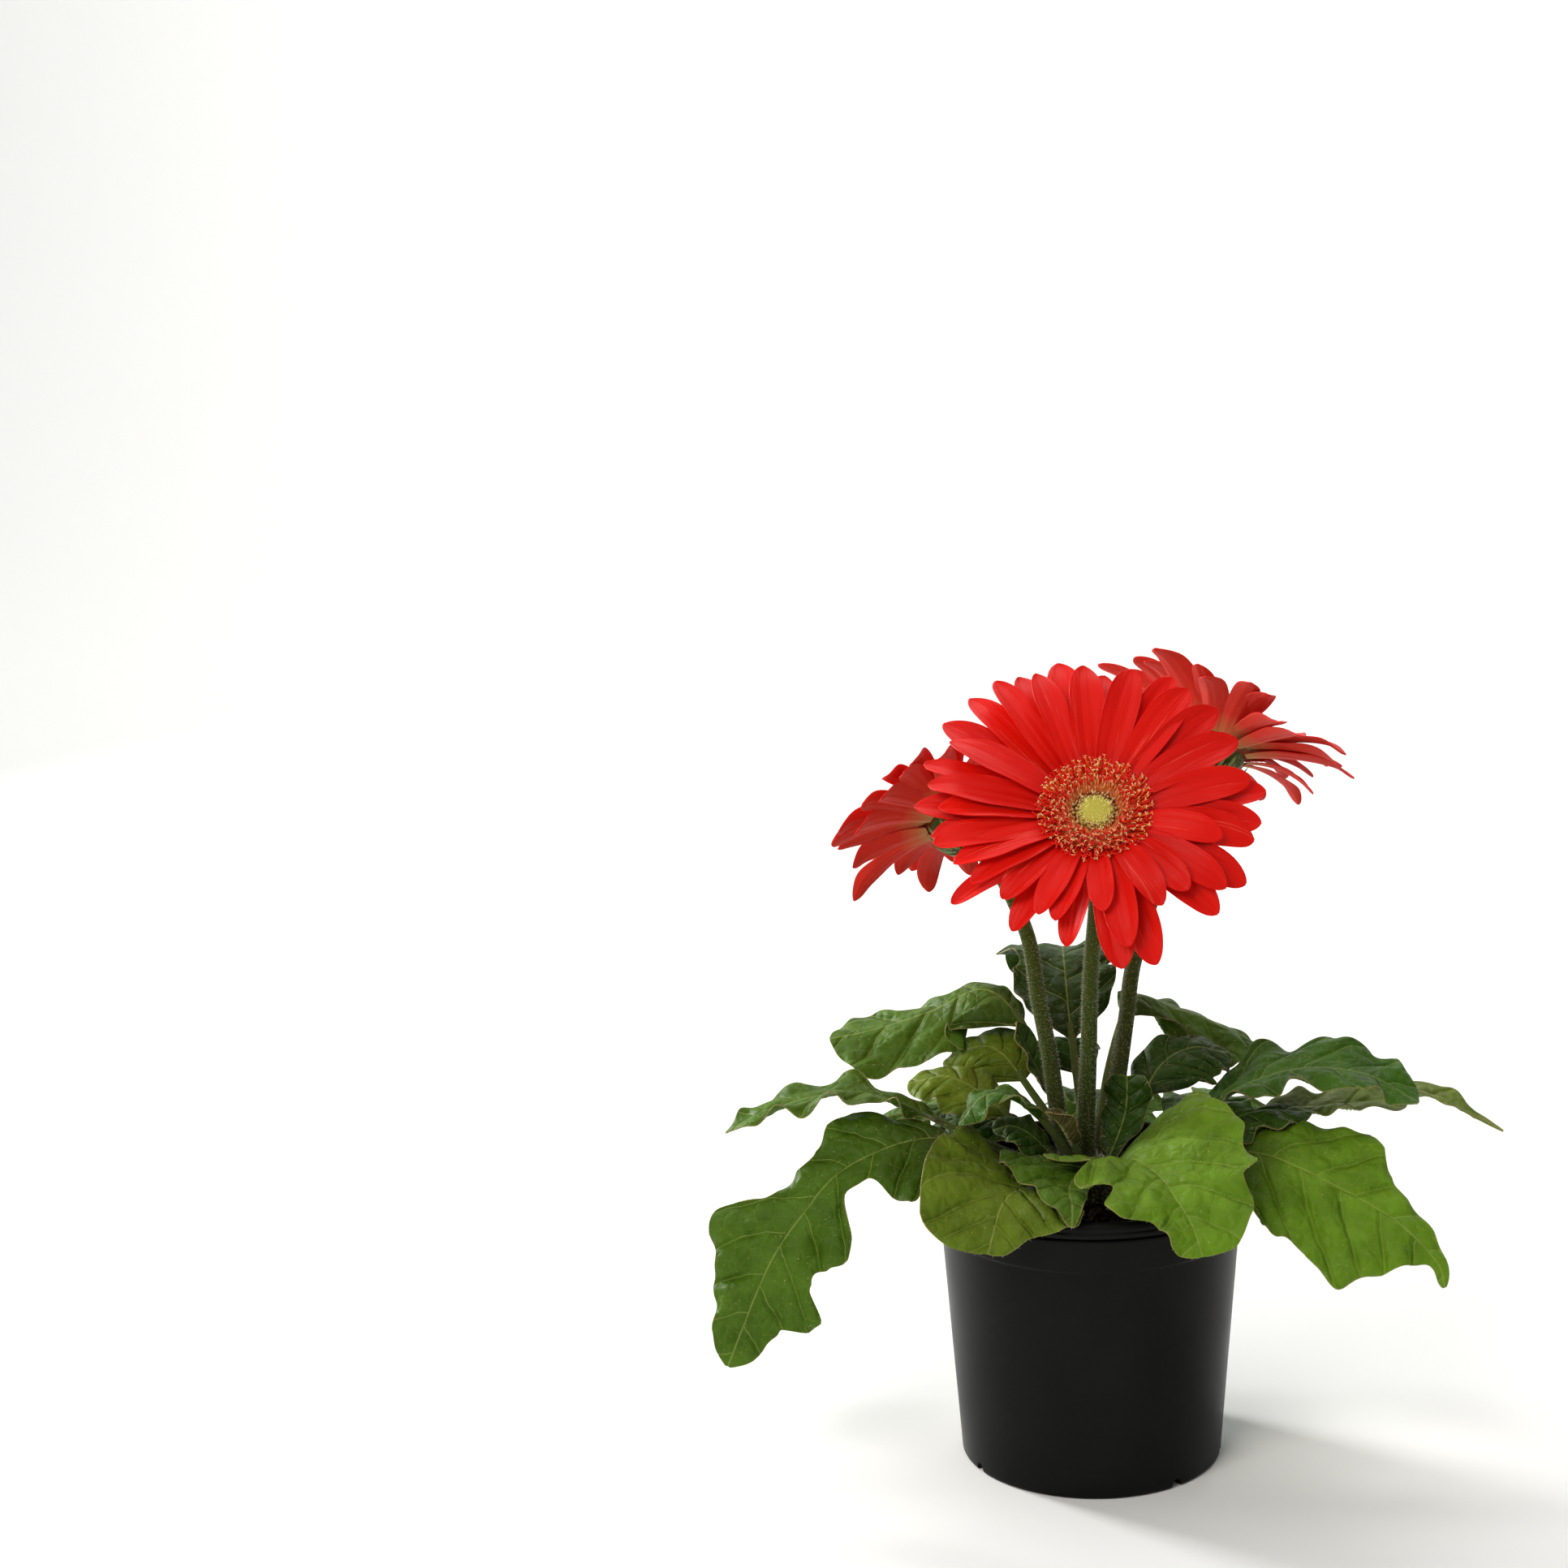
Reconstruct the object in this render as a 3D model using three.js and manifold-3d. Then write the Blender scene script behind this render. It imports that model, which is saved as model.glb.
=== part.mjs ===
// A potted gerbera: a black nursery pot filled with peat, a short crown, a rosette of lobed leaves and
// three flower heads on upright stems. Millimetres, +Z up, the origin at the centre of the pot's foot,
// -Y is the front.
import * as THREE from "three";
import { mergeVertices } from "three/addons/utils/BufferGeometryUtils.js";
import Module from "manifold-3d";

const wasm = await Module();
wasm.setup();

// ---------------------------------------------------------------- driving dimensions
const GAP = 0.3; // clearance between pieces that touch

const POT = { height: 107, footR: 47.3, neckR: 54.9, lipR: 57.6, lipDrop: 6, wall: 1.5, floor: 2.4 };
const POT_SIDES = 28;
const COLLAR = { z: 87.5, step: 0.55, rise: 0.8 }; // the faint step that runs round the wall
const DRAIN = { angles: [-58, 40, 82, 138, 180, -108], width: 4.2, height: 3.2, deep: 12 }; // from the front

const PEAT = { z: 95, rings: [1, 0.78, 0.55, 0.3, 0], edgeDrop: 1.2, lump: 0.9, heap: 1.5 };
const CROWN = { foot: 92, lowZ: 97, highZ: 104, shoulderZ: 109, top: 112 };
const CROWN_R = { foot: 9.4, middle: 11, shoulder: 8.25 };
const CROWN_SIDES = 12;

const STEM = { footR: 3.2, neckR: 2.5, sides: 8, steps: 8 };
const LEAF = {
  thick: 1.1,
  rib: 0.9, // how far the midrib stands out below the blade
  petioleFootR: 1.9,
  petioleNeckR: 1.5,
  petioleSteps: 2,
  petioleEnd: 0.96, // the last round section, as a share of the bare length
  sweep: 0.25, // the margins point this much towards the tip
  rippleWide: 12, // half width from which the margin ripples at full height
  rippleLag: 0.37, // waves by which the right margin trails the left
  rippleFade: 8, // the ripple dies away over 1/8 of the blade at each end
};

// The disc plane of a head is z = 0 in its own space, with +Z looking out of the flower.
const CALYX = {
  topZ: -3.4,
  depth: 12,
  cup: [[0, -12], [4, -11.4], [8, -7], [9.5, -2.4], [10, 0], [0, 0]], // [radius, height under topZ]
  sides: 12,
  sunk: 4, // how far the stem runs up into the cup
};
const BRACT = { count: 12, width: 2.4, length: 9, flat: 0.45, r: 8.2, z: -8, lean: 38 };
const BRACT_STAGGER = [1, -1.6, 10]; // every other bract stands further out, lower and steeper
const PETAL = {
  thick: 1.3,
  above: 0.3, // share of the thickness over the petal's middle surface
  rootR: 11.5,
  footZ: { outer: -1.6, inner: 1 },
  halfWide: [5.6, 6.8], // of a petal that reaches `usualReach`
  usualReach: 60,
  hollow: 0.16, // depth of the trough, as a share of the half width
  shingle: [8, 20], // degrees of roll that put one edge over the neighbour and one under
  arch: [1, 4],
  stations: [[0, 0.34], [0.6, 0.97], [0.88, 0.78], [1, 0.25]], // [share of length, share of half width]
};
const RECEPTACLE = { ring: [[7.2, -2.4], [14, -2.4], [14, 1.2], [7.2, 1.2], [7.2, -2.4]], sides: 20 };
const DISC_ROOM = [[0, 1.3], [14.4, 1.3], [16, 2.6], [20.6, 6.2], [20.6, 16], [0, 16]];
const FLORETS = {
  count: 36,
  rings: [
    { tilt: 58, root: 13.3, length: 8.2 },
    { tilt: 38, root: 11.3, length: 8.4 },
    { tilt: 14, root: 10.3, length: 6 },
  ],
  r: 1.25,
  footZ: 3.4,
  sunk: 1,
  turn: 2.39996, // the golden angle
  core: [[7.2, 1.6], [13.5, 1.6], [15.1, 3.2], [13.5, 5.4], [9.5, 4.4], [7.2, 3.6], [7.2, 1.6]],
  sides: 18,
};
const EYE = { r: 6.9, footZ: 1.7, wallZ: 3, dome: 1.9, rings: 4, sectors: 16, bud: 0.35, dip: 0.25 };
const PETAL_TOLERANCE = 0.12; // a joined ring of petals may be simplified by this much

const paint = (color, roughness) => new THREE.MeshStandardMaterial({ color, roughness, metalness: 0 });
const MATERIALS = {
  pot: paint(0x1d1e1c, 0.45),
  peat: paint(0x2b1f16, 1),
  crown: paint(0x4a4a2c, 0.9),
  stem: paint(0x5d6d36, 0.7),
  leaf: paint(0x4c7a23, 0.55),
  petal: paint(0xe01c12, 0.5),
  floret: paint(0xe07a3a, 0.6),
  eye: paint(0xc2c243, 0.7),
};

// ---------------------------------------------------------------- helpers
const V = (x, y, z) => new THREE.Vector3(x, y, z);
const rad = THREE.MathUtils.degToRad;
const mix = THREE.MathUtils.lerp;
const UP = V(0, 0, 1);

// A repeatable draw in 0..1 from two whole numbers.
function draw(seed, index) {
  const s = Math.sin(seed * 127.1 + index * 311.7) * 43758.5453;
  return s - Math.floor(s);
}

// A closed geometry as a Manifold, its seams welded.
function solid(geometry) {
  const loose = geometry.index ? geometry.toNonIndexed() : geometry.clone();
  loose.deleteAttribute("normal");
  loose.deleteAttribute("uv");
  const welded = mergeVertices(loose, 1e-4);
  const mesh = new wasm.Mesh({
    numProp: 3,
    vertProperties: welded.attributes.position.array,
    triVerts: new Uint32Array(welded.index.array),
  });
  return new wasm.Manifold(mesh);
}

function geometryFrom(points, index) {
  const flat = new Float32Array(points.flatMap((p) => [p.x, p.y, p.z]));
  return new THREE.BufferGeometry()
    .setAttribute("position", new THREE.BufferAttribute(flat, 3))
    .setIndex(index);
}

function geometryOf(manifold) {
  const mesh = manifold.getMesh();
  const flat = new Float32Array(mesh.numVert * 3);
  for (let i = 0; i < mesh.numVert; i++) {
    const start = i * mesh.numProp;
    flat.set(mesh.vertProperties.subarray(start, start + 3), i * 3);
  }
  return new THREE.BufferGeometry()
    .setAttribute("position", new THREE.BufferAttribute(flat, 3))
    .setIndex(new THREE.BufferAttribute(mesh.triVerts, 1));
}

const unionOf = (solids) => solids.reduce((all, next) => all.add(next));
const biggest = (manifold) => manifold.decompose().sort((a, b) => b.volume() - a.volume())[0];

// A profile of [radius, height] points turned round Z.
function turned(profile, sides) {
  const points = profile.map(([r, z]) => new THREE.Vector2(r, z));
  return new THREE.LatheGeometry(points, sides).rotateX(Math.PI / 2);
}

const curveThrough = (points) =>
  new THREE.CatmullRomCurve3(points.map((p) => V(...p)), false, "catmullrom", 0.5);

// A direction made square to a tangent.
const squareTo = (tangent, direction) =>
  direction.clone().addScaledVector(tangent, -direction.dot(tangent)).normalize();

// A point at an angle on a circle of radius r, counted from `across` towards `up`.
const onCircle = (at, across, up, r, angle) =>
  at.clone().addScaledVector(across, r * Math.cos(angle)).addScaledVector(up, r * Math.sin(angle));

// Lofts closed rings of equal, even point count into one closed body. A ring's first half is the upper
// face from left to right and its second half is the lower face from right to left.
function loft(rings) {
  const n = rings[0].length;
  const index = [];
  for (let i = 0; i + 1 < rings.length; i++) {
    for (let j = 0; j < n; j++) {
      const k = (j + 1) % n;
      const [a, b, c, d] = [i * n + j, i * n + k, (i + 1) * n + k, (i + 1) * n + j];
      const upper = j < n / 2;
      index.push(...(upper ? [a, b, c, a, c, d] : [a, b, d, b, c, d]));
    }
  }
  const end = (rings.length - 1) * n;
  for (let j = 0; j + 1 < n / 2; j++) {
    const [t0, t1, b1, b0] = [j, j + 1, n - 2 - j, n - 1 - j];
    index.push(t0, b0, b1, t0, b1, t1);
    index.push(end + t0, end + b1, end + b0, end + t0, end + t1, end + b1);
  }
  return geometryFrom(rings.flat(), index);
}

// A straight-line reading of rows [t, a, b, ...] at t.
function readRows(rows, t, column) {
  const i = Math.max(1, rows.findIndex((row) => row[0] >= t));
  const [p, q] = [rows[i - 1], rows[i]];
  return mix(p[column], q[column], (t - p[0]) / (q[0] - p[0]));
}

// ---------------------------------------------------------------- leaves
// spine: from inside the crown to the tip. neck: the share of the spine that is bare petiole.
// rows: [t along the blade, half width left, half width right]; peaks are lobes, dips are the cuts.
// fold: how far each half lifts (+) or droops (-), in degrees, at the blade's foot and tip.
// bank: how far the blade rolls about its rib, at its foot and tip; + lifts the left half.
// cup: how far the left and right margins curl up beyond that.
// wave: [height, waves, phase] of the rippled margin.
const LEAVES = {
  leaf_front_left_long: {
    spine: [
      [-6, -1, 99], [-34, -8, 116], [-60, -14, 123], [-87, -24, 115], [-103, -32, 99],
      [-115, -38, 81], [-129, -42, 47],
    ],
    neck: 0.27,
    fold: [-2, 0],
    bank: [-22, -62],
    wave: [1.2, 3, 0.1],
    rows: [
      [0, 4, 4], [0.06, 22, 8], [0.14, 27, 14], [0.22, 20, 20], [0.29, 8, 18], [0.37, 9, 12],
      [0.44, 21, 12], [0.51, 24, 15], [0.55, 20, 21], [0.6, 17, 28], [0.65, 18, 25],
      [0.7, 27, 20], [0.76, 23, 17], [0.82, 13, 13], [0.92, 9, 9], [1, 3, 3],
    ],
  },
  leaf_front_left_broad: {
    spine: [[-4, -5, 99], [-12, -17, 106], [-22, -34, 112], [-30, -50, 112], [-35, -62, 98]],
    neck: 0.3,
    fold: [4, -3],
    bank: [-10, -10],
    cup: [0, 10],
    wave: [0.8, 2, 0.6],
    rows: [
      [0, 7, 12], [0.08, 17, 25], [0.2, 24, 31], [0.4, 29, 31], [0.55, 26, 29], [0.68, 19, 26],
      [0.8, 13, 23], [0.9, 9, 18], [1, 4, 9],
    ],
  },
  leaf_front_small: {
    spine: [
      [-0.6, -6, 99], [-0.4, -14, 110], [-4, -30, 116], [-7, -46, 116], [-6, -58, 114.5],
      [-6, -65, 109],
    ],
    neck: 0.25,
    fold: [5, -4],
    bank: [-10, 0],
    wave: [0.4, 2, 0],
    rows: [
      [0, 3, 7], [0.08, 3, 20], [0.18, 5, 28], [0.3, 6, 27], [0.42, 7, 21], [0.5, 7, 18],
      [0.58, 7, 12], [0.68, 6, 10], [0.82, 4, 6], [1, 1, 1],
    ],
  },
  leaf_front_right: {
    spine: [
      [3, -5, 99], [8, -11, 111], [15, -25, 119.5], [23, -39, 119.5], [29, -52, 116],
      [35, -64, 109], [38, -71, 101],
    ],
    neck: 0.14,
    fold: [22, 4],
    bank: [13, 8],
    wave: [1.1, 3, 0.3],
    rows: [
      [0, 6, 2], [0.08, 28, 27], [0.17, 38, 33], [0.26, 34, 19], [0.34, 36, 32], [0.42, 35, 32],
      [0.5, 31, 20], [0.59, 31, 27], [0.66, 24, 24], [0.74, 24, 13], [0.85, 19, 11],
      [0.94, 13, 9], [1, 6, 5],
    ],
  },
  leaf_right_down: {
    spine: [
      [5.4, -2.5, 98.5], [40, -6, 114], [61, -12, 117], [81, -20, 111], [106, -32, 100],
      [120, -38, 87], [123, -40, 78],
    ],
    neck: 0.34,
    fold: [0, -6],
    bank: [30, 38],
    wave: [1, 2, 0.4],
    rows: [
      [0, 5, 5], [0.08, 14, 23], [0.18, 19, 30], [0.3, 24, 29], [0.38, 26, 29], [0.45, 22, 32],
      [0.55, 14, 34], [0.64, 10, 27], [0.74, 8, 18], [0.82, 6, 9], [0.89, 4, 3], [1, 2, 2],
    ],
  },
  leaf_right_upper: {
    spine: [[5.5, 2, 103], [32, 9, 118], [52, 14, 132], [75, 12, 141], [99, 6, 141], [117, 0, 132]],
    neck: 0.28,
    fold: [2, 0],
    bank: [8, 6],
    wave: [2.8, 3.5, 0.2],
    rows: [
      [0, 4, 4], [0.12, 14, 6], [0.22, 20, 13], [0.33, 24, 16], [0.41, 19, 14], [0.5, 26, 18],
      [0.58, 20, 15], [0.76, 21, 16], [0.85, 14, 11], [0.93, 10, 8], [1, 3, 2],
    ],
  },
  leaf_right_far: {
    spine: [
      [5.5, 2.5, 99], [41, 20, 115], [65, 28, 120], [89, 30, 121], [112, 29, 124],
      [126, 27, 126], [150, 22, 114],
    ],
    neck: 0.42,
    fold: [8, 10],
    bank: [0, 0],
    wave: [1.6, 3, 0],
    rows: [
      [0, 3, 3], [0.14, 12, 12], [0.3, 16, 16], [0.4, 11, 11], [0.52, 14, 15], [0.62, 9, 9],
      [0.72, 8, 9], [0.84, 4, 4], [1, 1, 1],
    ],
  },
  leaf_right_low: {
    spine: [[6, 0, 99.5], [29, 3, 113], [46, 5, 121.5], [62, 7, 127], [80, 7, 126]],
    neck: 0.35,
    fold: [-6, -8],
    bank: [10, 0],
    wave: [1, 2, 0.5],
    rows: [[0, 3, 3], [0.2, 4, 11], [0.38, 5, 16], [0.52, 4, 13], [0.7, 5, 15], [0.85, 4, 10], [1, 2, 2]],
  },
  leaf_back_right: {
    spine: [[2.7, 7.1, 104.2], [7.2, 24, 136], [17, 46, 157], [33, 60, 149], [55, 67, 138], [76, 70, 124]],
    neck: 0.42,
    fold: [-30, -14],
    bank: [20, 8],
    wave: [2.2, 3, 0.1],
    rows: [
      [0, 3, 10], [0.1, 10, 24], [0.2, 15, 29], [0.3, 17, 30], [0.42, 12, 24], [0.56, 17, 25],
      [0.68, 12, 19], [0.8, 13, 17], [0.92, 7, 9], [1, 2, 2],
    ],
  },
  leaf_back: {
    spine: [[0.2, 6, 106], [-3.4, 18, 129], [-7, 40, 152], [-9, 66, 167], [-10, 92, 164], [-11, 112, 146]],
    neck: 0.34,
    fold: [8, -8],
    bank: [0, 0],
    wave: [2, 3, 0.2],
    rows: [
      [0, 5, 5], [0.1, 15, 14], [0.24, 20, 19], [0.36, 17, 16], [0.5, 25, 24], [0.62, 19, 20],
      [0.76, 22, 21], [0.88, 13, 13], [1, 2, 2],
    ],
  },
  leaf_back_left: {
    spine: [
      [-1.5, 6.9, 100], [-15, 26, 132], [-27, 39, 154], [-40, 49, 160], [-58, 52, 151],
      [-78, 52, 144], [-97, 50, 140],
    ],
    neck: 0.42,
    fold: [-25, -12],
    bank: [-28, -20],
    wave: [1.8, 3, 0.6],
    rows: [
      [0, 8, 4], [0.06, 19, 7], [0.15, 23, 8], [0.3, 24, 9], [0.42, 21, 8], [0.56, 23, 14], [0.68, 21, 13],
      [0.82, 22, 15], [0.93, 12, 10], [1, 3, 3],
    ],
  },
  leaf_left_wavy: {
    spine: [
      [-6, 0.2, 103.5], [-42, -1, 119], [-64, 1, 130], [-83, 0, 136], [-100, -3, 135],
      [-118, -6, 130], [-131, -8, 123],
    ],
    neck: 0.36,
    fold: [6, 4],
    bank: [0, 0],
    wave: [2.6, 4, 0.3],
    rows: [
      [0, 3, 3], [0.1, 8, 5], [0.2, 14, 6], [0.3, 10, 7], [0.42, 16, 13], [0.52, 11, 10],
      [0.64, 14, 13], [0.76, 9, 8], [0.86, 8, 8], [1, 1, 1],
    ],
  },
  leaf_left_olive: {
    spine: [
      [-6, -2.6, 107], [-16, -2.4, 115], [-26, 2, 123], [-39, 9.6, 132.5], [-52, 15, 137],
      [-66, 18, 133],
    ],
    neck: 0.42,
    fold: [-14, -12],
    bank: [-20, -20],
    wave: [1, 2, 0],
    rows: [
      [0, 4, 5], [0.12, 13, 10], [0.3, 15, 11.5], [0.45, 14, 10], [0.55, 12, 8], [0.72, 12, 9],
      [0.88, 8, 7], [1, 3, 3],
    ],
  },
  leaf_left_olive_back: {
    spine: [
      [-3.2, 5.6, 107.4], [-9, 11.4, 114], [-20, 20, 128], [-32, 30.5, 141], [-42, 36, 141.5],
      [-54, 40, 134],
    ],
    neck: 0.48,
    fold: [-14, -12],
    bank: [-30, -28],
    wave: [1, 2, 0.3],
    rows: [
      [0, 4, 8], [0.12, 12, 15], [0.28, 15, 15], [0.42, 15, 13], [0.56, 12, 11], [0.74, 11, 10], [1, 2, 2],
    ],
  },
  leaf_young_fold: {
    spine: [[-4.5, -4.5, 108], [-12, -10, 123], [-24, -15, 138], [-37, -19, 141], [-46, -25, 132]],
    neck: 0.4,
    fold: [16, -26],
    bank: [0, 0],
    wave: [1.4, 3, 0.1],
    rows: [[0, 3, 3], [0.2, 7, 8], [0.36, 10, 10], [0.5, 7, 6], [0.68, 10, 8], [0.86, 6, 5], [1, 1, 1]],
  },
  leaf_front_mid: {
    spine: [[-4, -4.5, 102.5], [-11, -7.4, 111.5], [-20, -9.2, 122.4], [-28, -9.6, 126.6], [-34, -11, 125]],
    neck: 0.4,
    fold: [2, -4],
    bank: [-30, -16],
    wave: [0.6, 2, 0],
    rows: [[0, 4, 3], [0.2, 10, 7], [0.42, 12, 9], [0.58, 10, 6], [0.76, 8, 6], [1, 2, 2]],
  },
  leaf_centre_right: {
    spine: [[4.2, -3.6, 106], [7.5, -2.6, 113], [13, 5, 126], [14, 9, 139]],
    neck: 0.16,
    fold: [10, 4],
    bank: [0, 0],
    wave: [0.8, 2, 0],
    rows: [[0, 3, 3], [0.2, 6, 5], [0.45, 9, 10], [0.6, 8, 9], [0.8, 9, 11], [1, 5, 6]],
  },
  leaf_bud: {
    spine: [[-1.6, -6, 107], [-5, -12, 120], [-10, -15, 130], [-15, -17, 134]],
    neck: 0.45,
    fold: [40, 30],
    bank: [0, 0],
    wave: [0.4, 2, 0],
    rows: [[0, 2, 2], [0.25, 5, 5], [0.5, 6, 6], [0.75, 4, 4], [1, 1, 1]],
  },
  leaf_right_mid: {
    spine: [[6, -1, 107], [15, 7, 120], [25, 23, 137], [38, 31, 143], [52, 36, 139]],
    neck: 0.42,
    fold: [-8, -8],
    bank: [26, 16],
    wave: [1.2, 2, 0.4],
    rows: [[0, 4, 5], [0.2, 11, 17], [0.42, 11, 20], [0.6, 9, 15], [0.78, 10, 15], [1, 2, 2]],
  },
  leaf_back_low: {
    spine: [[0.5, 7.6, 101.2], [-1.5, 18, 119], [-5, 33, 134], [-7, 51, 140], [-7, 68, 131]],
    neck: 0.5,
    fold: [-6, -10],
    bank: [0, 0],
    wave: [1.6, 2.5, 0.4],
    rows: [[0, 5, 4], [0.15, 15, 10], [0.35, 18, 11], [0.5, 14, 9], [0.7, 17, 9], [0.88, 10, 6], [1, 2, 2]],
  },
  leaf_left_dark: {
    spine: [[-1.6, 3.6, 110], [-9.5, 12.2, 123], [-17, 16.5, 136], [-23, 19, 148], [-26, 20, 156]],
    neck: 0.4,
    fold: [16, 10],
    bank: [0, 0],
    wave: [0.8, 2, 0],
    rows: [[0, 3, 3], [0.2, 7, 8], [0.42, 8, 9], [0.58, 6, 6], [0.76, 7, 7], [1, 1, 1]],
  },
  leaf_left_low: {
    spine: [[-4.6, 5, 102.1], [-17, 10.6, 112.6], [-32, 15, 119], [-46, 15, 121], [-58, 13, 117]],
    neck: 0.36,
    fold: [-8, -10],
    bank: [-16, -10],
    wave: [1, 2, 0.3],
    rows: [[0, 4, 3], [0.2, 11, 9], [0.42, 12, 11], [0.58, 9, 8], [0.76, 10, 9], [1, 2, 2]],
  },
  leaf_rear: {
    spine: [[0.5, 6, 98.7], [3, 30, 112.7], [5, 58, 117], [7, 88, 104], [8, 108, 78]],
    neck: 0.32,
    fold: [-6, -8],
    bank: [0, 0],
    wave: [2, 3, 0.5],
    rows: [
      [0, 3, 3], [0.12, 13, 13], [0.26, 19, 19], [0.37, 14, 14], [0.52, 24, 23], [0.63, 18, 18],
      [0.76, 22, 22], [0.88, 13, 13], [1, 3, 3],
    ],
  },
  leaf_rear_left: {
    spine: [[-5, 3, 98.5], [-26, 23, 112], [-48, 46, 117], [-72, 68, 106], [-86, 82, 82]],
    neck: 0.32,
    fold: [-6, -8],
    bank: [0, 0],
    wave: [2, 3, 0.2],
    rows: [
      [0, 3, 3], [0.12, 13, 13], [0.26, 20, 19], [0.37, 14, 14], [0.52, 23, 24], [0.63, 18, 18],
      [0.76, 21, 21], [0.88, 12, 12], [1, 3, 3],
    ],
  },
  leaf_rear_right: {
    spine: [[4, 5, 99], [26, 30, 112], [44, 56, 115], [62, 82, 104], [72, 96, 80]],
    neck: 0.32,
    fold: [-6, -8],
    bank: [0, 0],
    wave: [2, 3, 0.8],
    rows: [
      [0, 3, 3], [0.12, 12, 12], [0.26, 18, 19], [0.37, 13, 14], [0.52, 22, 22], [0.63, 17, 17],
      [0.76, 20, 20], [0.88, 12, 12], [1, 3, 3],
    ],
  },
};

// The blade's own axes at `along`, 0 at its foot and 1 at its tip.
function bladeFrame(leaf, curve, along) {
  const u = mix(leaf.neck, 1, along);
  const heading = curve.getPointAt(1).sub(curve.getPointAt(leaf.neck)).setZ(0).normalize();
  const tangent = curve.getTangentAt(Math.min(u, 0.9999));
  const side = squareTo(tangent, heading.cross(UP));
  side.applyAxisAngle(tangent, rad(mix(leaf.bank[0], leaf.bank[1], along)));
  return { at: curve.getPointAt(u), tangent, side, normal: side.clone().cross(tangent) };
}

// A point of the blade's middle surface: `across` runs from -1, the left margin, to 1, the right.
function bladePoint(leaf, curve, along, across) {
  const { at, tangent, side, normal } = bladeFrame(leaf, curve, along);
  const column = across < 0 ? 1 : 2;
  const half = readRows(leaf.rows, along, column) * Math.abs(across);
  const lift = rad(mix(leaf.fold[0], leaf.fold[1], along));
  const [height, waves, phase] = leaf.wave;
  const turns = waves * along + phase + (across > 0 ? LEAF.rippleLag : 0);
  const ripple = height * Math.min(1, half / LEAF.rippleWide) * Math.sin(2 * Math.PI * turns);
  const cup = leaf.cup ? leaf.cup[column - 1] : 0;
  const fade = Math.min(1, along * LEAF.rippleFade, (1 - along) * LEAF.rippleFade);
  return at
    .addScaledVector(side, half * Math.cos(lift) * Math.sign(across))
    .addScaledVector(normal, half * Math.sin(lift) + (ripple + cup) * across * across * fade)
    .addScaledVector(tangent, half * LEAF.sweep);
}

const ACROSS = [-1, -0.5, 0, 0.5, 1];
const RIB = 2; // place of the midrib in ACROSS

// Round sections of the bare petiole, with as many points as a blade's section.
function petioleRings(leaf, curve) {
  const { side } = bladeFrame(leaf, curve, 0);
  const points = 2 * ACROSS.length;
  return Array.from({ length: LEAF.petioleSteps + 1 }, (_, i) => {
    const along = i / LEAF.petioleSteps;
    const u = along * leaf.neck * LEAF.petioleEnd;
    const tangent = curve.getTangentAt(u);
    const across = squareTo(tangent, side);
    const up = across.clone().cross(tangent);
    const r = mix(LEAF.petioleFootR, LEAF.petioleNeckR, along);
    const step = (2 * Math.PI) / points;
    return Array.from({ length: points }, (_, j) =>
      onCircle(curve.getPointAt(u), across, up, r, Math.PI - (j + 0.5) * step));
  });
}

// Thin sections of the blade, thicker below the rib.
function bladeRings(leaf, curve) {
  const grid = leaf.rows.map(([t]) => ACROSS.map((across) => bladePoint(leaf, curve, t, across)));
  return grid.map((row, i) => {
    const before = grid[Math.max(i - 1, 0)];
    const after = grid[Math.min(i + 1, grid.length - 1)];
    const normals = row.map((_, j) => {
      const run = after[j].clone().sub(before[j]);
      const span = row[Math.min(j + 1, row.length - 1)].clone().sub(row[Math.max(j - 1, 0)]);
      return span.cross(run).normalize();
    });
    const half = LEAF.thick / 2;
    const upper = row.map((p, j) => p.clone().addScaledVector(normals[j], half));
    const depth = (j) => half + (j === RIB ? LEAF.rib : 0);
    const lower = row.map((p, j) => p.clone().addScaledVector(normals[j], -depth(j)));
    return [...upper, ...lower.reverse()];
  });
}

function leafSolid(leaf) {
  const curve = curveThrough(leaf.spine);
  return solid(loft([...petioleRings(leaf, curve), ...bladeRings(leaf, curve)]));
}

// ---------------------------------------------------------------- pot, peat and crown
const LIP_Z = POT.height - POT.lipDrop;
const wallR = (z) => mix(POT.footR, POT.neckR, z / LIP_Z);
const innerR = (z) => wallR(z) - POT.wall;

// A half-round notch through the foot of the wall.
function drainNotch(degrees) {
  const r = DRAIN.width / 2;
  const notch = new THREE.CylinderGeometry(r, r, DRAIN.deep, 8);
  notch.rotateY(Math.PI / 8);
  notch.scale(1, 1, DRAIN.height / r);
  notch.translate(0, -POT.footR, 0);
  notch.rotateZ(rad(degrees));
  return solid(notch);
}

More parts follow.
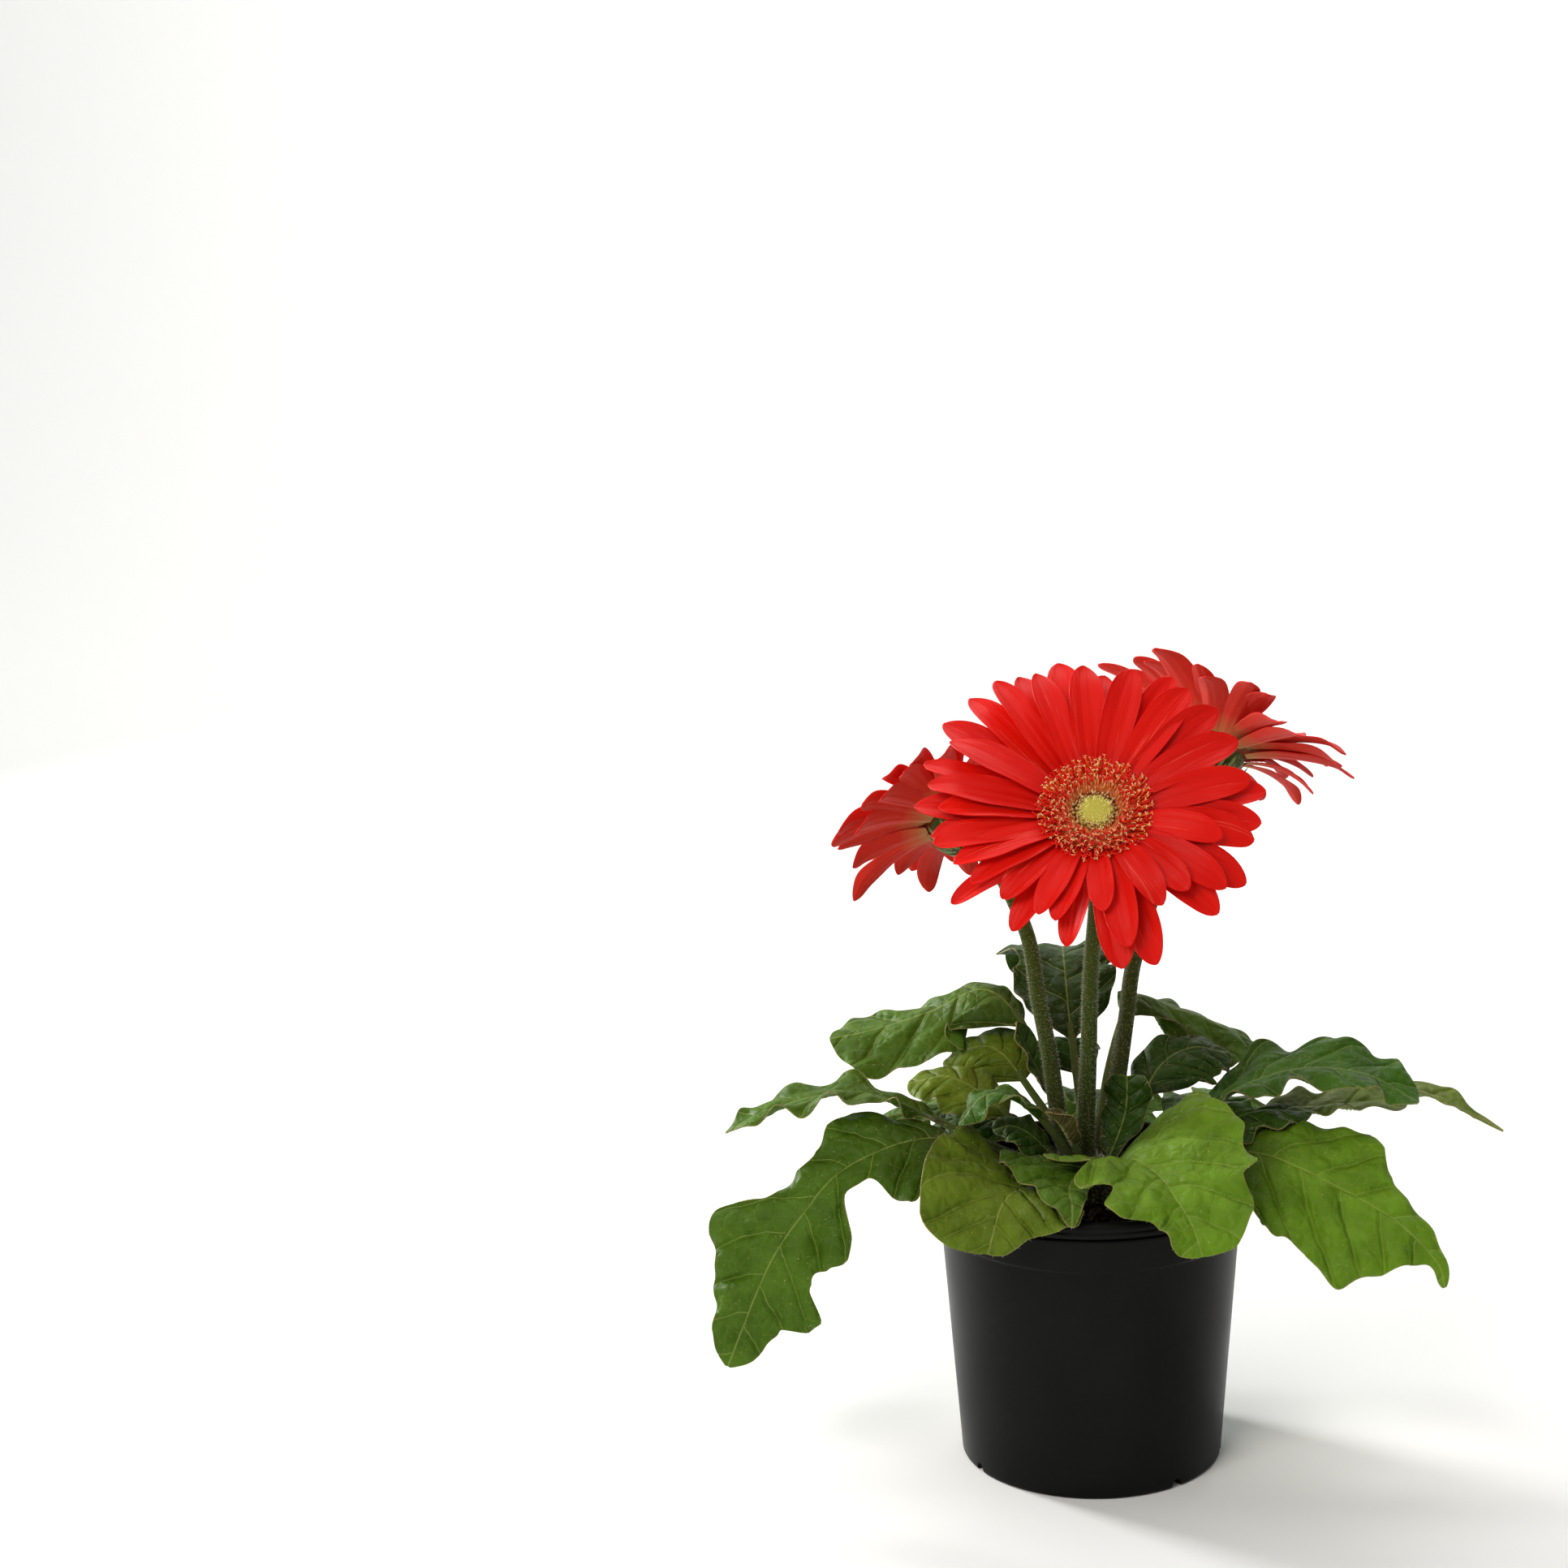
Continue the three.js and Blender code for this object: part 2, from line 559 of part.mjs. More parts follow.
function potSolid() {
  const profile = [
    [0, 0],
    [POT.footR, 0],
    [wallR(COLLAR.z), COLLAR.z],
    [wallR(COLLAR.z) + COLLAR.step, COLLAR.z + COLLAR.rise],
    [POT.neckR + COLLAR.step, LIP_Z - 1.2],
    // the groove under the lip
    [POT.neckR - 0.8, LIP_Z - 0.6],
    [POT.neckR - 0.6, LIP_Z + 0.2],
    // the lip: a bead below, a rounded edge above
    [POT.lipR - 0.3, LIP_Z + 0.4],
    [POT.lipR, LIP_Z + 2],
    [POT.lipR - 0.5, LIP_Z + 2.8],
    [POT.lipR - 0.1, POT.height - 2.4],
    [POT.lipR - 0.5, POT.height - 0.6],
    [POT.lipR - 1.6, POT.height],
    [POT.neckR - 1, POT.height - 0.2],
    // the inside
    [innerR(LIP_Z), LIP_Z - 1],
    [innerR(POT.floor), POT.floor],
    [0, POT.floor],
  ];
  const shell = solid(turned(profile, POT_SIDES));
  return DRAIN.angles.reduce((pot, degrees) => pot.subtract(drainNotch(degrees)), shell);
}

// The crown's outline, grown all round.
const crownProfile = (grow) => [
  [0, CROWN.foot - grow],
  [CROWN_R.foot + grow, CROWN.foot - grow],
  [CROWN_R.middle + grow, CROWN.lowZ],
  [CROWN_R.middle + grow, CROWN.highZ],
  [CROWN_R.shoulder + grow, CROWN.shoulderZ + grow],
  [0, CROWN.top + grow],
];

// Peat fills the pot: uneven on top, a little lower at the wall and heaped at the crown.
function peatSolid() {
  const foot = POT.floor + GAP;
  const edge = innerR(PEAT.z) - GAP;
  const top = PEAT.rings.map((share) => [edge * share, PEAT.z]);
  const geometry = turned([[0, foot], [innerR(foot) - GAP, foot], ...top], POT_SIDES);
  const p = geometry.attributes.position;
  for (let i = 0; i < p.count; i++) {
    if (p.getZ(i) < PEAT.z - 1) continue;
    const r = Math.hypot(p.getX(i), p.getY(i)) / edge;
    const a = Math.atan2(p.getY(i), p.getX(i));
    const lumps = Math.sin(5 * a + 7 * r) + Math.sin(3 * a - 11 * r + 1);
    const relief = r > 0.99 ? -PEAT.edgeDrop : PEAT.lump * lumps * Math.min(1, r * 2);
    p.setZ(i, PEAT.z + relief + PEAT.heap * (1 - r));
  }
  return solid(geometry).subtract(crownRoom);
}

// ---------------------------------------------------------------- flower heads
// at: centre of the disc. face: the way it looks. stem: points up from inside the crown; the neck under
// the head follows from the face. wide: how wide its petals are beside the usual. Petals are listed one
// by one: [turn in degrees from the head's right hand side, reach, height of the tip over the disc]. The
// outer ones lie behind, the inner ones in front.
const HEADS = {
  front: {
    at: [3, -19.5, 243],
    face: [0, -0.72, 0.69],
    seed: 3,
    stem: [[0, -3, 100], [-1, -1, 119], [0, -2, 150], [1, -6, 182], [3, -10, 210]],
    wide: 1,
    outer: [
      [175, 63, -1], [158, 64, -1], [144, 66, -1], [114, 65, -1], [101, 66, -1], [65, 64, -1],
      [10, 60, -1], [359, 57, -1], [351, 55, -1], [333, 57, -2], [318, 55, -3], [290, 58, -6],
      [279, 57, -6], [258, 50, -3], [237, 52, -1], [212, 59, -3], [186, 57, -1], [86, 60, -2],
      [37, 57, -2],
    ],
    inner: [
      [169, 59, 5], [177, 54, 6], [194, 57, 5], [204, 53, 5], [151, 58, 5], [133, 65, 3], [123, 64, 4],
      [111, 60, 5], [93, 60, 5], [77, 59, 5], [55, 59, 5], [44, 60, 4], [30, 57, 5], [13, 55, 5],
      [344, 45, 6], [326, 53, 3], [315, 45, 7], [301, 44, 7], [283, 53, 3], [272, 42, 8], [253, 46, 7],
      [244, 46, 7], [226, 47, 6], [214, 51, 5],
    ],
  },
  right: {
    at: [50, 75, 247],
    face: [0.42, 0.5, 0.76],
    seed: 11,
    stem: [[4.5, 2.5, 100], [7.7, 8, 119], [11, 18, 138], [14, 28, 156], [17, 38, 174], [27, 54, 202]],
    wide: 0.92,
    outer: [
      [41, 55, 10], [86, 54, 12], [112, 51, 5], [129, 53, 9], [159, 52, 2], [195, 54, 4], [232, 40, 2],
      [258, 46, 4], [282, 48, 3], [306, 48, 4], [330, 48, 4], [354, 50, 6], [18, 50, 8],
    ],
    inner: [
      [30, 48, 14], [62, 47, 12], [74, 46, 10], [101, 44, 12], [137, 51, 8], [146, 53, 1], [181, 54, 7],
      [187, 51, 4], [215, 40, 12], [244, 42, 12], [270, 44, 12], [296, 44, 12], [318, 44, 12],
      [343, 44, 12], [7, 46, 14],
    ],
  },
  left: {
    at: [-49, 50, 227],
    face: [-0.42, 0.62, 0.66],
    seed: 23,
    stem: [[-4.5, 1.5, 100], [-10.4, 4, 122], [-14, 8, 147], [-18, 14, 167], [-22, 22, 189], [-33, 35, 210]],
    wide: 0.86,
    outer: [
      [45, 51, -1], [33, 52, -4], [23, 52, -1], [10, 50, -6], [329, 42, 0], [301, 52, 0], [283, 38, 2],
      [262, 48, 0], [240, 48, 0], [218, 48, 0], [196, 48, 0], [174, 48, 0], [152, 48, 0], [130, 48, 0],
      [106, 48, 0], [84, 48, 0], [64, 50, 0],
    ],
    inner: [
      [51, 50, 3], [38, 51, 3], [5, 52, 0], [359, 53, -2], [345, 46, 2], [316, 36, 4], [293, 40, 7],
      [270, 43, 7], [246, 43, 7], [222, 43, 7], [198, 43, 7], [174, 43, 7], [150, 43, 7], [126, 43, 7],
      [101, 43, 7], [76, 43, 7],
    ],
  },
};

// Stands +Z on the face of a head, +X to its right hand and +Y up.
function headPlace(head) {
  const z = V(...head.face).normalize();
  const x = UP.clone().cross(z).normalize();
  const y = z.clone().cross(x);
  return new THREE.Matrix4().makeBasis(x, y, z).setPosition(...head.at);
}

const petalsOf = ({ outer, inner }) => [
  ...outer.map(([turn, reach, rise]) => ({ turn, reach, rise, inner: false })),
  ...inner.map(([turn, reach, rise]) => ({ turn, reach, rise, inner: true })),
];

// A petal is a troughed strap of four points to a section, narrow at the root and rounded at the tip.
function petalSolid({ turn, reach, rise, inner }, index, { seed, wide: share }) {
  const footZ = inner ? PETAL.footZ.inner : PETAL.footZ.outer;
  const length = reach - PETAL.rootR;
  const tilt = Math.atan2(rise - footZ, length);
  const shingle = rad(mix(...PETAL.shingle, draw(seed, index + 130)));
  const arch = mix(...PETAL.arch, draw(seed, index + 170));
  const usual = mix(...PETAL.halfWide, draw(seed, index + 210)) * Math.sqrt(reach / PETAL.usualReach);
  const rings = PETAL.stations.map(([t, part]) => {
    const half = usual * share * part;
    const hollow = PETAL.hollow * half;
    const roll = shingle * (0.5 + 0.5 * t);
    const across = V(0, Math.cos(roll), Math.sin(roll));
    const up = V(0, -Math.sin(roll), Math.cos(roll));
    const at = V(length * t, 0, 4 * arch * t * (1 - t));
    const place = (side, height) => at.clone().addScaledVector(across, side).addScaledVector(up, height);
    return [
      place(half, hollow),
      place(0, PETAL.thick * PETAL.above - hollow * 0.6),
      place(-half, hollow),
      place(0, -PETAL.thick * (1 - PETAL.above) - hollow * 0.6),
    ];
  });
  const geometry = lozengeLoft(rings);
  geometry.rotateY(-tilt);
  geometry.translate(PETAL.rootR, 0, footZ);
  geometry.rotateZ(rad(turn));
  return solid(geometry);
}

// Lofts rings of four points, with both faces split alike.
function lozengeLoft(rings) {
  const index = [];
  for (let i = 0; i + 1 < rings.length; i++) {
    for (let j = 0; j < 4; j++) {
      const k = (j + 1) % 4;
      const [a, b, c, d] = [i * 4 + j, i * 4 + k, i * 4 + 4 + k, i * 4 + 4 + j];
      index.push(...(j % 2 === 0 ? [a, b, c, a, c, d] : [a, b, d, b, c, d]));
    }
  }
  const end = (rings.length - 1) * 4;
  index.push(0, 3, 1, 3, 2, 1);
  index.push(end, end + 1, end + 3, end + 3, end + 1, end + 2);
  return geometryFrom(rings.flat(), index);
}

// A ring of petals on the receptacle, hollowed where the disc's florets stand.
function petalsSolid(head) {
  const receptacle = solid(turned(RECEPTACLE.ring, RECEPTACLE.sides));
  const discRoom = solid(turned(DISC_ROOM, RECEPTACLE.sides));
  const petals = petalsOf(head).map((petal, i) => petalSolid(petal, i, head));
  const joined = unionOf([receptacle, ...petals]);
  return joined.subtract(discRoom).simplify(PETAL_TOLERANCE);
}

// The disc's open florets: cones in three rings, leaning out less and less towards the middle.
function floretsSolid(head) {
  const core = solid(turned(FLORETS.core, FLORETS.sides));
  const cones = Array.from({ length: FLORETS.count }, (_, i) => {
    const ring = FLORETS.rings[i % 3];
    const tilt = rad(ring.tilt + 12 * (draw(head.seed, i + 300) - 0.5));
    const length = ring.length * mix(0.9, 1.1, draw(head.seed, i + 400));
    const cone = new THREE.ConeGeometry(FLORETS.r, length, 3).rotateX(Math.PI / 2);
    cone.translate(0, 0, length / 2 - FLORETS.sunk);
    cone.rotateY(tilt);
    cone.translate(ring.root, 0, FLORETS.footZ);
    cone.rotateZ(i * FLORETS.turn);
    return solid(cone);
  });
  return unionOf([core, ...cones]);
}

// The eye: a low dome of unopened buds in relief.
function eyeSolid() {
  const dome = Array.from({ length: EYE.rings }, (_, k) => {
    const a = (k / EYE.rings) * Math.PI * 0.5;
    return [EYE.r * Math.cos(a), EYE.wallZ + EYE.dome * Math.sin(a)];
  });
  const profile = [[0, EYE.footZ], [EYE.r, EYE.footZ], ...dome, [0, EYE.wallZ + EYE.dome]];
  const geometry = turned(profile, EYE.sectors);
  const p = geometry.attributes.position;
  for (let i = 0; i < p.count; i++) {
    const r = Math.hypot(p.getX(i), p.getY(i));
    if (p.getZ(i) < EYE.wallZ + 0.01 || r < 0.5) continue;
    const sector = Math.round((Math.atan2(p.getY(i), p.getX(i)) / (2 * Math.PI)) * EYE.sectors);
    const raised = (sector + Math.round(r)) % 2 === 0;
    p.setZ(i, p.getZ(i) + (raised ? EYE.bud : -EYE.dip));
  }
  return solid(geometry);
}

// One of the small green leaves that overlap on the cup under a head.
function bractSolid(i, place) {
  const [out, down, more] = BRACT_STAGGER.map((step) => step * (i % 2));
  const bract = new THREE.ConeGeometry(BRACT.width, BRACT.length, 3).scale(1, 1, BRACT.flat);
  bract.rotateX(Math.PI / 2);
  bract.rotateZ(Math.PI / 2);
  bract.rotateY(rad(BRACT.lean + more));
  bract.translate(BRACT.r + out, 0, BRACT.z + down);
  bract.rotateZ((i * 2 * Math.PI) / BRACT.count);
  return solid(bract.applyMatrix4(place));
}

// A stem with its neck bent to the head, and the green cup on top of it.
function scapeSolid(head) {
  const place = headPlace(head);
  const neck = V(0, 0, CALYX.topZ - CALYX.depth).applyMatrix4(place);
  const end = V(0, 0, CALYX.topZ - CALYX.sunk).applyMatrix4(place);
  const route = curveThrough([...head.stem, neck.toArray(), end.toArray()]);
  const rings = Array.from({ length: STEM.steps + 1 }, (_, i) => {
    const u = i / STEM.steps;
    const tangent = route.getTangentAt(u);
    const across = squareTo(tangent, V(1, 0, 0));
    const up = across.clone().cross(tangent);
    const r = mix(STEM.footR, STEM.neckR, u);
    const step = (2 * Math.PI) / STEM.sides;
    return Array.from({ length: STEM.sides }, (_, j) =>
      onCircle(route.getPointAt(u), across, up, r, Math.PI - (j + 0.5) * step));
  });
  const cup = turned(CALYX.cup.map(([r, z]) => [r, z + CALYX.topZ]), CALYX.sides);
  const bracts = Array.from({ length: BRACT.count }, (_, i) => bractSolid(i, place));
  return unionOf([solid(loft(rings)), solid(cup.applyMatrix4(place)), ...bracts]);
}

// ---------------------------------------------------------------- assembly
const plant = new THREE.Group();

function addPiece(name, manifold, material) {
  const mesh = new THREE.Mesh(geometryOf(biggest(manifold)), material);
  mesh.name = name;
  plant.add(mesh);
}

const crownRoom = solid(turned(crownProfile(GAP), CROWN_SIDES));

addPiece("pot", potSolid(), MATERIALS.pot);
addPiece("peat", peatSolid(), MATERIALS.peat);
addPiece("crown", solid(turned(crownProfile(0), CROWN_SIDES)), MATERIALS.crown);

for (const [name, leaf] of Object.entries(LEAVES)) {
  addPiece(name, leafSolid(leaf).subtract(crownRoom), MATERIALS.leaf);
}

for (const [name, head] of Object.entries(HEADS)) {
  const place = headPlace(head);
  const standing = (manifold) => solid(geometryOf(manifold).applyMatrix4(place));
  addPiece(`scape_${name}`, scapeSolid(head).subtract(crownRoom), MATERIALS.stem);
  addPiece(`petals_${name}`, standing(petalsSolid(head)), MATERIALS.petal);
  addPiece(`florets_${name}`, standing(floretsSolid(head)), MATERIALS.floret);
  addPiece(`eye_${name}`, standing(eyeSolid()), MATERIALS.eye);
}

export default plant;
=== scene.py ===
# %% [markdown]
# # A potted gerbera
# The plant is a rosette of lobed, quilted leaves round a short crown, with three red daisy heads on
# downy stems, in a black nursery pot. The solids of the frame already hold every main form at its real
# size and place. This notebook dresses them: each coarse solid is replaced by a fine mesh of the same
# form, and what is too small for the solids is added, such as hairs, florets, buds, bracts and crumbs.
# The frame is loaded first, because every piece is placed by it and rides on its one body.

# %% Load the frame
import math

import bpy
import numpy as np
from mathutils import Matrix, Vector, noise


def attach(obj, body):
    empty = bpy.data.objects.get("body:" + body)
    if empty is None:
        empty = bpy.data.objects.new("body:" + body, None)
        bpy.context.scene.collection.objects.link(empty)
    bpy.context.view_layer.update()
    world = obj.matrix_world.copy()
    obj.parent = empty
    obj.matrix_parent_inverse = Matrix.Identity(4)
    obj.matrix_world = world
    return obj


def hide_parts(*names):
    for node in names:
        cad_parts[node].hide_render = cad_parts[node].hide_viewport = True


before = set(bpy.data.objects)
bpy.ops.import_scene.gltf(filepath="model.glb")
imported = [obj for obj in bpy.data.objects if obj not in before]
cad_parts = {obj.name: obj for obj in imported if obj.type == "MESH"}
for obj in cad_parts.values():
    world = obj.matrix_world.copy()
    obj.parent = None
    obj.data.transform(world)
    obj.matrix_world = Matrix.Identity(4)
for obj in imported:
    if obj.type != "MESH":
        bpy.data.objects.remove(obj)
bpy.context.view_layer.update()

MM = 0.001  # sizes below are in millimetres, meshes are in metres

# %% [markdown]
# ## The camera
# The plant is seen from a little above, at about 1.1 m, with a long lens that keeps the pot's sides
# nearly parallel. The camera is turned by three angles, so it is easier to read than a look-at target:
# yaw turns it left, pitch tips it down and roll levels the picture.

# %% Place the camera
PICTURE_PX = 1932
FOCAL_PX = 4000
CAMERA_AT = Vector((0, -1.118, 0.509))
YAW, PITCH, ROLL = (math.radians(angle) for angle in (-5.46, 12.96, -1.66))
Z_AXIS = Vector((0, 0, 1))

forward = Vector((math.sin(YAW) * math.cos(PITCH), math.cos(YAW) * math.cos(PITCH), -math.sin(PITCH)))
level_right = forward.cross(Z_AXIS).normalized()
level_up = level_right.cross(forward)
right = math.cos(ROLL) * level_right + math.sin(ROLL) * level_up
up = math.cos(ROLL) * level_up - math.sin(ROLL) * level_right

lens = bpy.data.cameras.new("camera")
lens.sensor_width = 36
lens.lens = lens.sensor_width * FOCAL_PX / PICTURE_PX
camera = bpy.data.objects.new("camera", lens)
camera.matrix_world = Matrix.LocRotScale(CAMERA_AT, Matrix((right, up, -forward)).transposed(), None)
bpy.context.scene.collection.objects.link(camera)
bpy.context.scene.camera = camera
print("camera: lens", round(lens.lens, 1), "mm")

# %% [markdown]
# ## Colours and node trees
# Colours are written as the sRGB hex codes that a paint chart gives, and one function turns them into
# the linear values that Cycles works in. Shader trees and geometry trees are built by one more small
# function, `add`, which adds a node with its settings and links and returns the output that the next node
# needs. Constants go straight onto a node's own sockets, where anyone who opens the tree can find them.
# A pattern's scale is worked out from the real width of its spots.

# %% Small helpers
def colour(code):
    """An sRGB hex code as linear red, green, blue and alpha."""
    channels = [int(code[i : i + 2], 16) / 255 for i in (1, 3, 5)]
    linear = [c / 12.92 if c <= 0.04045 else ((c + 0.055) / 1.055) ** 2.4 for c in channels]
    return (*linear, 1.0)


def join(node, inputs):
    """Gives a node's inputs, by name or number, a value, a hex colour or another node's output."""
    for place, value in inputs.items():
        if isinstance(value, bpy.types.NodeSocket):
            node.id_data.links.new(value, node.inputs[place])
        else:
            is_colour = isinstance(value, str) and value.startswith("#")
            node.inputs[place].default_value = colour(value) if is_colour else value


def add(tree, kind, inputs=(), out=0, stops=(), **settings):
    """Adds a node and returns one output. Stops, from 0 to 1, fill a ramp with hex colours or greys."""
    node = tree.nodes.new(kind)
    for name, value in settings.items():
        setattr(node, name, value)
    join(node, inputs if isinstance(inputs, dict) else dict(enumerate(inputs)))
    for number, (place, shade) in enumerate(stops):
        elements = node.color_ramp.elements
        element = elements[number] if number < len(elements) else elements.new(place)
        element.position = place
        element.color = colour(shade) if isinstance(shade, str) else (shade, shade, shade, 1.0)
    return node.outputs[out] if node.outputs else node


def finish_of(name, **settings):
    """A new material, its tree and its Principled shader, which takes the settings."""
    made = bpy.data.materials.new(name)
    made.use_nodes = True
    shader = made.node_tree.nodes["Principled BSDF"]
    join(shader, {label.replace("_", " "): value for label, value in settings.items()})
    return made, made.node_tree, shader


def spots(size_mm):
    """The scale of a pattern whose spots are this wide."""
    return 1 / (size_mm * MM)


# a Mix node has sockets for each kind of data; these are the ones for colours
SHARE, UNDER, OVER, BLEND = 0, 6, 7, 2
print("a mid grey is", round(colour("#808080")[0], 3), "in linear light")

# %% [markdown]
# ## Petals
# A gerbera's ray petal is a thin velvety strap. Its face is a clear warm red with darker lengthwise lines
# where the petal folded in the bud, and paler pink lines beside them, which are painted sheen. Its back is
# duller, brick red turning beige-green at the root, with a faint sheen from its fine hairs and the same
# painted pale lines. A pattern in space would cut across the petals. This one follows each petal, so it
# reads a `petal_mm` attribute: millimetres across, millimetres along, and a number of the petal's own,
# which also makes some petals a little deeper in colour than others. `petal_share` runs from 0 at the
# root to 1 at the tip.

# %% Petal face and back
FOLD_WIDE, FOLD_LONG = 1.61, 50  # mm, of the coloured lines
PLY_WIDE, PLY_LONG = 0.625, 20  # mm, of the finer ribs between them
PLY_DEEP = 0.3  # mm
SKIN_DEEP = 0.8 * MM  # how far light spreads in petals and leaves


def petal_material(name, deep, plain, light, root, roughness, sheen):
    made, tree, shader = finish_of(
        name, Roughness=roughness, IOR=1.42, Specular_IOR_Level=0.16,
        Sheen_Weight=sheen, Sheen_Roughness=0.3, Sheen_Tint="#F08CA0",
        Subsurface_Weight=0.1, Subsurface_Scale=SKIN_DEEP, Subsurface_Radius=(1.0, 0.12, 0.06),
    )
    place = add(tree, "ShaderNodeAttribute", out="Vector", attribute_name="petal_mm")
    number = add(tree, "ShaderNodeSeparateXYZ", [place], out="Z")
    share = add(tree, "ShaderNodeAttribute", out="Fac", attribute_name="petal_share")

    stretched = add(tree, "ShaderNodeMapping", {"Vector": place, "Scale": (1 / FOLD_WIDE, 1 / FOLD_LONG, 1)})
    folds = add(
        tree, "ShaderNodeTexNoise", {"Vector": stretched, "Scale": 1.0, "Detail": 5, "Roughness": 0.7}
    )
    # deep and plain are the petal's own reds; light, the paler pink of the lines, is painted sheen along the
    # folds
    reds_and_painted_sheen = [(0.2, deep), (0.36, plain), (0.6, plain), (0.72, light)]
    red = add(tree, "ShaderNodeValToRGB", [folds], stops=reds_and_painted_sheen)
    own = add(tree, "ShaderNodeTexWhiteNoise", {"W": number}, noise_dimensions="1D")
    deepened = add(tree, "ShaderNodeValToRGB", [own], stops=[(0.25, 0.0), (1.0, 0.42)])
    red = add(tree, "ShaderNodeMix", {SHARE: deepened, UNDER: red, OVER: deep}, BLEND, data_type="RGBA")
    at_root = add(tree, "ShaderNodeValToRGB", [share], stops=[(0.0, 0.8), (0.12, 0.35), (0.34, 0.0)])
    body = add(tree, "ShaderNodeMix", {SHARE: at_root, UNDER: red, OVER: root}, BLEND, data_type="RGBA")

    finer = add(tree, "ShaderNodeMapping", {"Vector": place, "Scale": (1 / PLY_WIDE, 1 / PLY_LONG, 1)})
    ribs = add(tree, "ShaderNodeTexNoise", {"Vector": finer, "Scale": 1.0, "Detail": 2})
    relief = add(tree, "ShaderNodeBump", {"Height": ribs, "Distance": PLY_DEEP * MM, "Strength": 0.6})
    join(shader, {"Base Color": body, "Normal": relief})
    return made


# the face has no sheen weight, so its velvet sheen is only the painted pale lines
PETAL_FACE = petal_material("petal_face_velvet", "#B40602", "#E01408", "#F05440", "#A80803", 0.44, 0.0)
PETAL_BACK = petal_material("petal_back_brick", "#B42418", "#D03022", "#DC5444", "#A8945A", 0.6, 0.05)
print("petal materials:", PETAL_FACE.name, "and", PETAL_BACK.name)

# %% [markdown]
# ## Leaf blade
# A gerbera leaf is a satin green sheet, quilted between sunken pale veins and edged with a thread of tan
# down. The upper side is greener and glossier than the back, where the veins stand out pale. The big forms
# are in the mesh. Thin lines would take millions of faces, so the material draws them: the midrib, the
# side veins, and the net of small veins, whose cells are about 5 mm wide. The mesh carries `leaf_mm`
# (distance from the midrib, count of side veins passed, distance from the margin) and `leaf_tint`, the
# leaf's green with painted light and shade in it: its tone, and painted shade darkening the blade's foot.

# %% Leaf upper side and back
MIDRIB = {"From Min": 0.15, "From Max": 0.5, "To Min": 0.8, "To Max": 0.0}  # mm from the rib, then share
MARGIN = {"From Min": 0.06, "From Max": 0.3, "To Min": 0.48, "To Max": 0.0}  # mm from the margin, then share
MARGIN_TAN = "#A08A58"
HAIR_FLECK = "#B9B86E"
VEIN_WOBBLE = 0.36  # of the way from one side vein to the next
LEAF_RELIEF = 3.3  # mm


